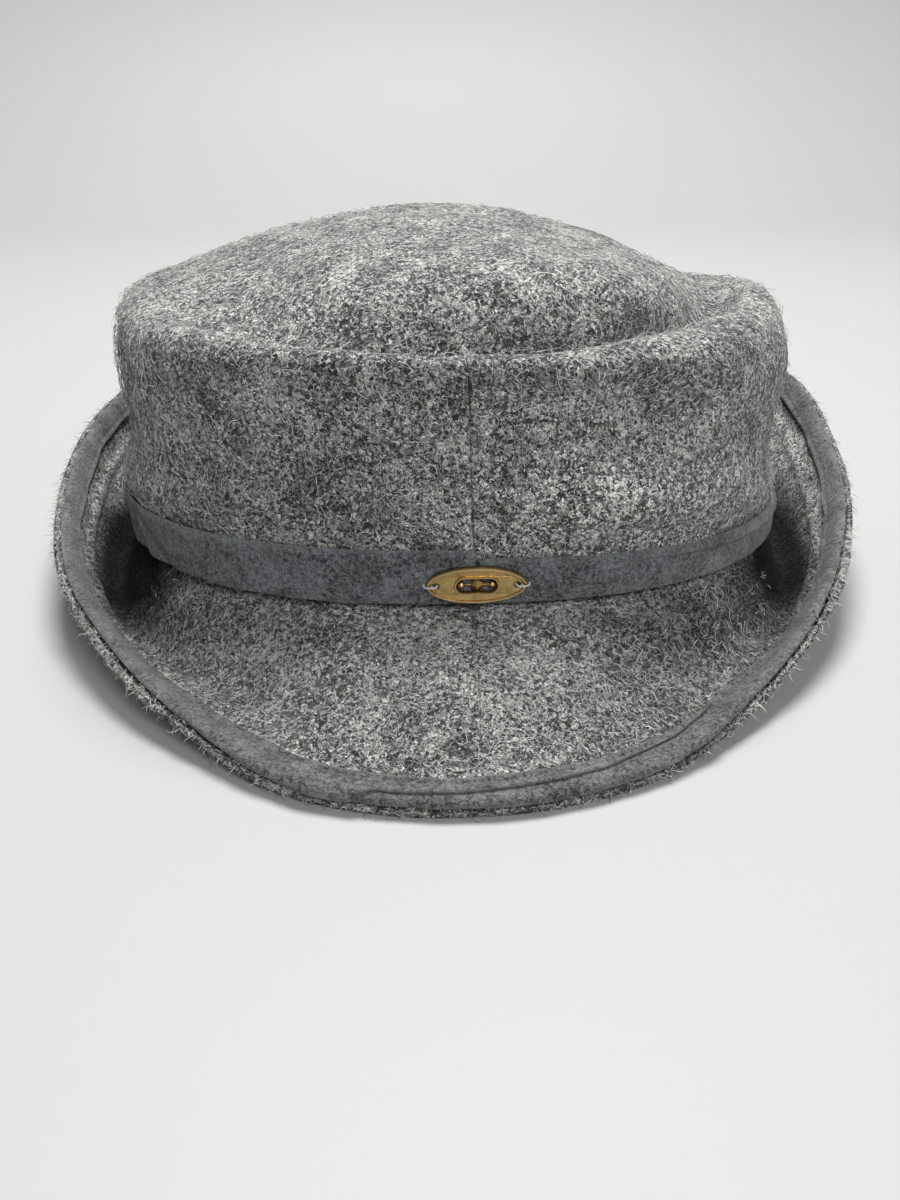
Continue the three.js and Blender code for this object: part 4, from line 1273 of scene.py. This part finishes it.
def add_badge():
    full = BADGE_PLATE + BADGE_RIM_RISE
    window_size = (WINDOW_LENGTH - WINDOW_FRAME, WINDOW_HEIGHT - WINDOW_FRAME)
    rim = oval_path(BADGE_LENGTH - BADGE_RIM_WIDTH, BADGE_HEIGHT - BADGE_RIM_WIDTH, 120)
    bar = stadium_path(window_size[0], BAR_HEIGHT, 24)
    quarter = np.array([[2, 0], [1, 1], [0, 2], [-1, 1]])
    lozenge = np.concatenate([quarter, -quarter]) * [LOZENGE_LENGTH / 4, LOZENGE_HEIGHT / 4]
    bead = oval_path(BEAD_DIAMETER, BEAD_DIAMETER, 24)
    hole = oval_path(BADGE_HOLE + 0.2, BADGE_HOLE + 0.2, 32)
    parts = [
        plate_with_holes(),
        bead_along(rim, BADGE_RIM_WIDTH, 0, full),
        bead_along(stadium_path(*window_size, 64), WINDOW_FRAME, 0, full),
        dome(bar, BADGE_INLAY_FOOT, BADGE_PLATE * 0.8),
        dome(lozenge, BADGE_INLAY_FOOT, full * 0.95, power=1.0),
    ]
    for side in (-1, 1):
        points, faces = dome(bead, BADGE_INLAY_FOOT, full * 0.85)
        parts.append((points + [side * BEAD_SPACING / 2, 0, 0], faces))
        points, faces = bead_along(hole, EYELET_WIDTH, BADGE_PLATE * 0.5,
                                   BADGE_PLATE + EYELET_RISE, 6)
        parts.append((points + [side * BADGE_HOLE_SPACING / 2, 0, 0], faces))
    flat, faces = joined(parts)
    height = flat[:, 2] / full
    piece = add_mesh("badge_brass", bent_onto_band(flat), faces, brass, {"height": height})
    auto_smooth(piece, 40)
    stand_for(piece, "badge")


def auto_smooth(piece, angle):
    """Crisp edges where faces meet at more than the angle."""
    piece.data.set_sharp_from_angle(angle=math.radians(angle))
    piece.data.update()


def add_thread(side, name, node):
    """Two twisted strands, up through the hole and down over the badge's pointed end."""
    full = BADGE_PLATE + BADGE_RIM_RISE
    hole = BADGE_HOLE_SPACING / 2
    end = BADGE_LENGTH / 2
    r = THREAD_DIAMETER / 2
    lift = full + GAP / 2 + r
    knots = np.array([
        [hole - r, 0, -0.1],
        [hole - r * 0.6, 0, full * 0.8],
        [hole + r, 0, lift],
        [end - r, 0, lift],
        [end + r * 1.6, 0, full * 0.75],
        [end + r * 2.2, 0, 0.1],
    ])
    knots[:, 0] *= side
    t = np.linspace(0, len(knots) - 1.001, 60)
    path = spline_points(knots, t)
    ahead = unit(np.gradient(path, axis=0))
    out = unit(np.cross(ahead, [0.0, 1.0, 0.0]))
    across = np.cross(ahead, out)
    parts = []
    for phase in (0, np.pi):
        angle = (t * THREAD_TWIST + phase)[:, None]
        strand = path + (out * np.cos(angle) + across * np.sin(angle)) * r * STRAND_OFFSET
        parts.append(tube(strand, np.full(len(t), r * STRAND_SHARE), 8))
    points, faces = joined(parts)
    stand_for(add_mesh(name, bent_onto_band(points), faces, thread), node)


def spline_points(knots, t):
    run = np.concatenate([2 * knots[:1] - knots[1:2], knots, 2 * knots[-1:] - knots[-2:-1]])
    i = np.floor(t).astype(int)
    f = (t - i)[:, None]
    a, b, c, d = [run[i + k] for k in range(4)]
    return hermite(b, c, (c - a) / 2, (d - b) / 2, 1, f)


def tube(path, radii, sides):
    """A closed tube along a path, as triangles."""
    ahead = unit(np.gradient(path, axis=0))
    out = unit(np.cross(ahead, [0.0, 1.0, 0.01]))
    across = np.cross(ahead, out)
    t = np.arange(sides) * 2 * np.pi / sides
    ring = out[:, None] * np.cos(t)[None, :, None] + across[:, None] * np.sin(t)[None, :, None]
    points = path[:, None] + ring * radii[:, None, None]
    n = len(path)
    start = np.arange(n - 1)[:, None] * sides
    k = np.arange(sides)[None]
    a, b = start + k, start + (k + 1) % sides
    quads = np.stack([a, b, b + sides, a + sides], -1).reshape(-1, 4)
    points = np.concatenate([points.reshape(-1, 3), path[:1], path[-1:]])
    first, last = len(points) - 2, len(points) - 1
    k = np.arange(sides)
    after = (k + 1) % sides
    end = (n - 1) * sides
    caps = [
        np.stack([after, k, np.full(sides, first)], -1),
        np.stack([end + k, end + after, np.full(sides, last)], -1),
    ]
    return points, np.concatenate([as_triangles(quads), *caps])


# Wool fibres that stand proud of the cloth

def fibre_mesh(name, base, normal, draw, length, lift):
    """Thin, curly, tapered fibres with their feet at the given points."""
    count = len(base)
    helper = unit(np.cross(normal, draw.normal(size=(count, 3))))
    other = np.cross(normal, helper)
    heading = np.cumsum(draw.normal(0, FIBRE_CURL, size=(count, FIBRE_RINGS)), 1)
    heading += draw.uniform(0, 2 * np.pi, size=(count, 1))
    step = draw.uniform(0.5, 1.5, size=(count, 1)) * length / FIBRE_RINGS
    x = np.cumsum(np.cos(heading) * step, 1)
    y = np.cumsum(np.sin(heading) * step, 1)
    t = np.linspace(0, 1, FIBRE_RINGS)[None]
    high = np.abs(draw.normal(0, 1, size=(count, 1))) * lift
    z = FIBRE_FOOT + high * np.sin(np.pi * np.minimum(t * draw.uniform(0.5, 1.1, (count, 1)), 1))
    z += 0.25 * lift * np.cumsum(draw.normal(0, 0.25, size=(count, FIBRE_RINGS)), 1) * t
    path = (base[:, None] + helper[:, None] * x[..., None] + other[:, None] * y[..., None]
            + normal[:, None] * z[..., None])
    ahead = unit(np.gradient(path, axis=1))
    side = unit(np.cross(ahead, normal[:, None]) + 1e-6)
    up = np.cross(side, ahead)
    radius = (FIBRE_RADIUS * (1 - FIBRE_TAPER * t))[..., None, None]
    angle = np.arange(FIBRE_SIDES) * 2 * np.pi / FIBRE_SIDES
    ring = (side[:, :, None] * np.cos(angle)[None, None, :, None]
            + up[:, :, None] * np.sin(angle)[None, None, :, None])
    points = (path[:, :, None] + ring * radius).reshape(-1, 3)
    j, k = np.divmod(np.arange(FIBRE_SIDES * (FIBRE_RINGS - 1)), FIBRE_SIDES)
    a = FIBRE_SIDES * j + k
    b = FIBRE_SIDES * j + (k + 1) % FIBRE_SIDES
    quads = np.stack([a, b, b + FIBRE_SIDES, a + FIBRE_SIDES], -1)
    end = FIBRE_SIDES * (FIBRE_RINGS - 1)
    caps = [[2, 1, 0], [end, end + 1, end + 2]]
    starts = np.arange(count)[:, None, None] * FIBRE_SIDES * FIBRE_RINGS
    faces = (starts + np.concatenate([as_triangles(quads), caps])[None]).reshape(-1, 3)
    tone = np.repeat(draw.beta(*FIBRE_TONES, size=count), FIBRE_SIDES * FIBRE_RINGS)
    points[:, 2] = np.maximum(points[:, 2], FIBRE_RADIUS)
    piece = add_mesh(name, points, faces, fibre, {"tone": tone})
    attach(piece, BODY)


def scattered(surface, draw, count, azimuths, stations, spared):
    """Random feet on a surface, as dense on its wide places as on its narrow ones."""
    tries = count * 8
    azimuth = draw.uniform(*azimuths, size=(tries, 1))
    station = draw.uniform(*stations, size=(tries, 1))
    run = np.linalg.norm(surface.run(azimuth, station), axis=-1)
    turn = surface.at(azimuth + NUDGE, station) - surface.at(azimuth - NUDGE, station)
    area = (run * np.linalg.norm(turn, axis=-1)).ravel()
    kept = draw.uniform(size=tries) * np.quantile(area, 0.97) < area
    if spared is not None:
        kept &= draw.uniform(size=tries) > 1.6 * spared(azimuth, station).ravel()
    azimuth, station = azimuth[kept][:count], station[kept][:count]
    return surface.at(azimuth, station)[:, 0], surface.normal(azimuth, station)[:, 0]


# Where the fibres grow: surface, count, azimuths, stations, spared places, length, lift
FUZZ = {
    "fuzz_crown_front": (crown, 4600, (-100, 100), (1.2, TIP_SEAM), None, 4.2, 0.42),
    "fuzz_crown_back": (crown, 2000, (100, 260), (1.2, TIP_SEAM), None, 4.2, 0.42),
    "fuzz_crown_top": (crown, 3400, (0, 360), (TIP_SEAM, CROWN_CENTRE - 0.05), None, 4.0, 0.38),
    "fuzz_brim_front": (brim, 3600, (-90, 90), (0.3, RIM - 0.9), gutter, 3.8, 0.36),
    "fuzz_brim_back": (brim, 1300, (90, 270), (3.2, RIM - 1.1), gutter, 3.8, 0.36),
}


def add_fuzz():
    draw = np.random.default_rng(41)
    for name, (surface, count, azimuths, stations, spared, length, lift) in FUZZ.items():
        base, normal = scattered(surface, draw, count, azimuths, stations, spared)
        fibre_mesh(name, base, normal, draw, length, lift)


def add_hem_fuzz():
    draw = np.random.default_rng(57)
    azimuth = draw.uniform(0, FULL_TURN, size=(HEM_FIBRES, 1))
    rim = np.full_like(azimuth, RIM)
    outward = unit(brim.run(azimuth, rim))[:, 0]
    across = brim.normal(azimuth, rim)[:, 0]
    shown = shown_hem(azimuth)
    turn = draw.uniform(-0.4, 1, size=(HEM_FIBRES, 1))
    swell = HEM_RISE * shown
    level = -(BRIM_PLY + GAP) + swell - (BRIM_PLY * 0.8 + swell) * np.maximum(turn, 0)
    out = HEM_REACH * shown * (1 - 0.4 * np.abs(turn - 0.2))
    base = brim.at(azimuth, rim)[:, 0] + across * level + outward * out
    normal = unit(outward * 1.2 + across * (0.9 - 1.3 * turn))
    kept = base[:, 2] > 0.8
    fibre_mesh("fuzz_hem", base[kept], normal[kept], draw, 2.6, 0.3)


# Stage, light and camera

# The floor sweeps up into a backdrop; sizes in millimetres
FLOOR_NEAR = -3000
BACKDROP_AWAY = 900
BACKDROP_BEND = 250
BACKDROP_TALL = 2500
STAGE_HALF = 3000

# Lights: name, place and aim in metres, size and power
LIGHTS = [
    ("overhead", (0.05, 0.30, 1.25), (0, 0, 0), 0.6, 25),
    ("front_fill", (0.30, -1.2, 0.95), (0, 0, 0.03), 0.5, 11),
]
WORLD_COLOUR = (0.97, 0.98, 1.0, 1)
WORLD_STRENGTH = 0.24


def add_stage():
    """A pale floor that sweeps up into a backdrop behind the hat."""
    turn = np.linspace(0, np.pi / 2, 12)
    away = BACKDROP_AWAY - BACKDROP_BEND * (1 - np.sin(turn))
    bend = np.stack([away, BACKDROP_BEND * (1 - np.cos(turn))], -1)
    line = np.concatenate([[[FLOOR_NEAR, 0]], bend, [[BACKDROP_AWAY, BACKDROP_TALL]]])
    left = np.column_stack([np.full(len(line), -STAGE_HALF), line])
    right = np.column_stack([np.full(len(line), STAGE_HALF), line])
    points = np.concatenate([left, right])
    n = len(line)
    k = np.arange(n - 1)
    faces = np.stack([k, k + n, k + n + 1, k + 1], -1)
    nodes = Nodes("floor_pale")
    nodes.shade(Base_Color=FLOOR_COLOUR, Roughness=0.6)
    mesh = bpy.data.meshes.new("floor")
    mesh.from_pydata((points * MM).tolist(), [], faces.tolist())
    mesh.polygons.foreach_set("use_smooth", np.full(len(faces), True))
    mesh.materials.append(nodes.material)
    floor = bpy.data.objects.new("floor", mesh)
    bpy.context.scene.collection.objects.link(floor)


def add_light(name, place, aim, size, power):
    data = bpy.data.lights.new(name, "AREA")
    data.shape = "DISK"
    data.size = size
    data.energy = power
    light = bpy.data.objects.new(name, data)
    light.location = place
    direction = np.array(aim, float) - np.array(place, float)
    light.rotation_mode = "QUATERNION"
    light.rotation_quaternion = facing(direction)
    bpy.context.scene.collection.objects.link(light)


def facing(direction):
    return Vector(direction).to_track_quat("-Z", "Y")


def add_world():
    world = bpy.data.worlds.new("studio")
    world.use_nodes = True
    background = world.node_tree.nodes["Background"]
    background.inputs["Color"].default_value = WORLD_COLOUR
    background.inputs["Strength"].default_value = WORLD_STRENGTH
    bpy.context.scene.world = world


def add_camera():
    """Looks down on the front of the hat from close by."""
    yaw = math.radians(CAMERA_YAW)
    pitch = math.radians(CAMERA_PITCH)
    place = np.array([
        math.sin(yaw) * CAMERA_DISTANCE, -math.cos(yaw) * CAMERA_DISTANCE, CAMERA_HEIGHT,
    ])
    ahead = (-math.sin(yaw) * math.cos(pitch), math.cos(yaw) * math.cos(pitch), -math.sin(pitch))
    data = bpy.data.cameras.new("camera")
    data.sensor_width = CAMERA_SENSOR
    data.lens = CAMERA_LENS
    data.shift_x = IMAGE_OFFSET / IMAGE_HEIGHT
    data.clip_start = 0.01
    camera = bpy.data.objects.new("camera", data)
    camera.location = (place + SHIFT) * MM
    camera.rotation_mode = "QUATERNION"
    camera.rotation_quaternion = facing(ahead)
    bpy.context.scene.collection.objects.link(camera)
    bpy.context.scene.camera = camera


add_camera()
add_crown_side("crown_wool_right", 0, 180, "crown_side_right")
add_crown_side("crown_wool_left", 180, 360, "crown_side_left")
add_crown_tip()
add_brim_top("brim_wool_right", 0, 180, "brim_top_right")
add_brim_top("brim_wool_left", 180, 360, "brim_top_left")
add_brim_under()
add_trim()
add_band()
add_badge()
add_thread(1, "thread_right", "badge_thread_right")
add_thread(-1, "thread_left", "badge_thread_left")
add_fuzz()
add_hem_fuzz()
add_stage()
for light in LIGHTS:
    add_light(*light)
add_world()
bpy.context.scene.view_settings.view_transform = "Standard"
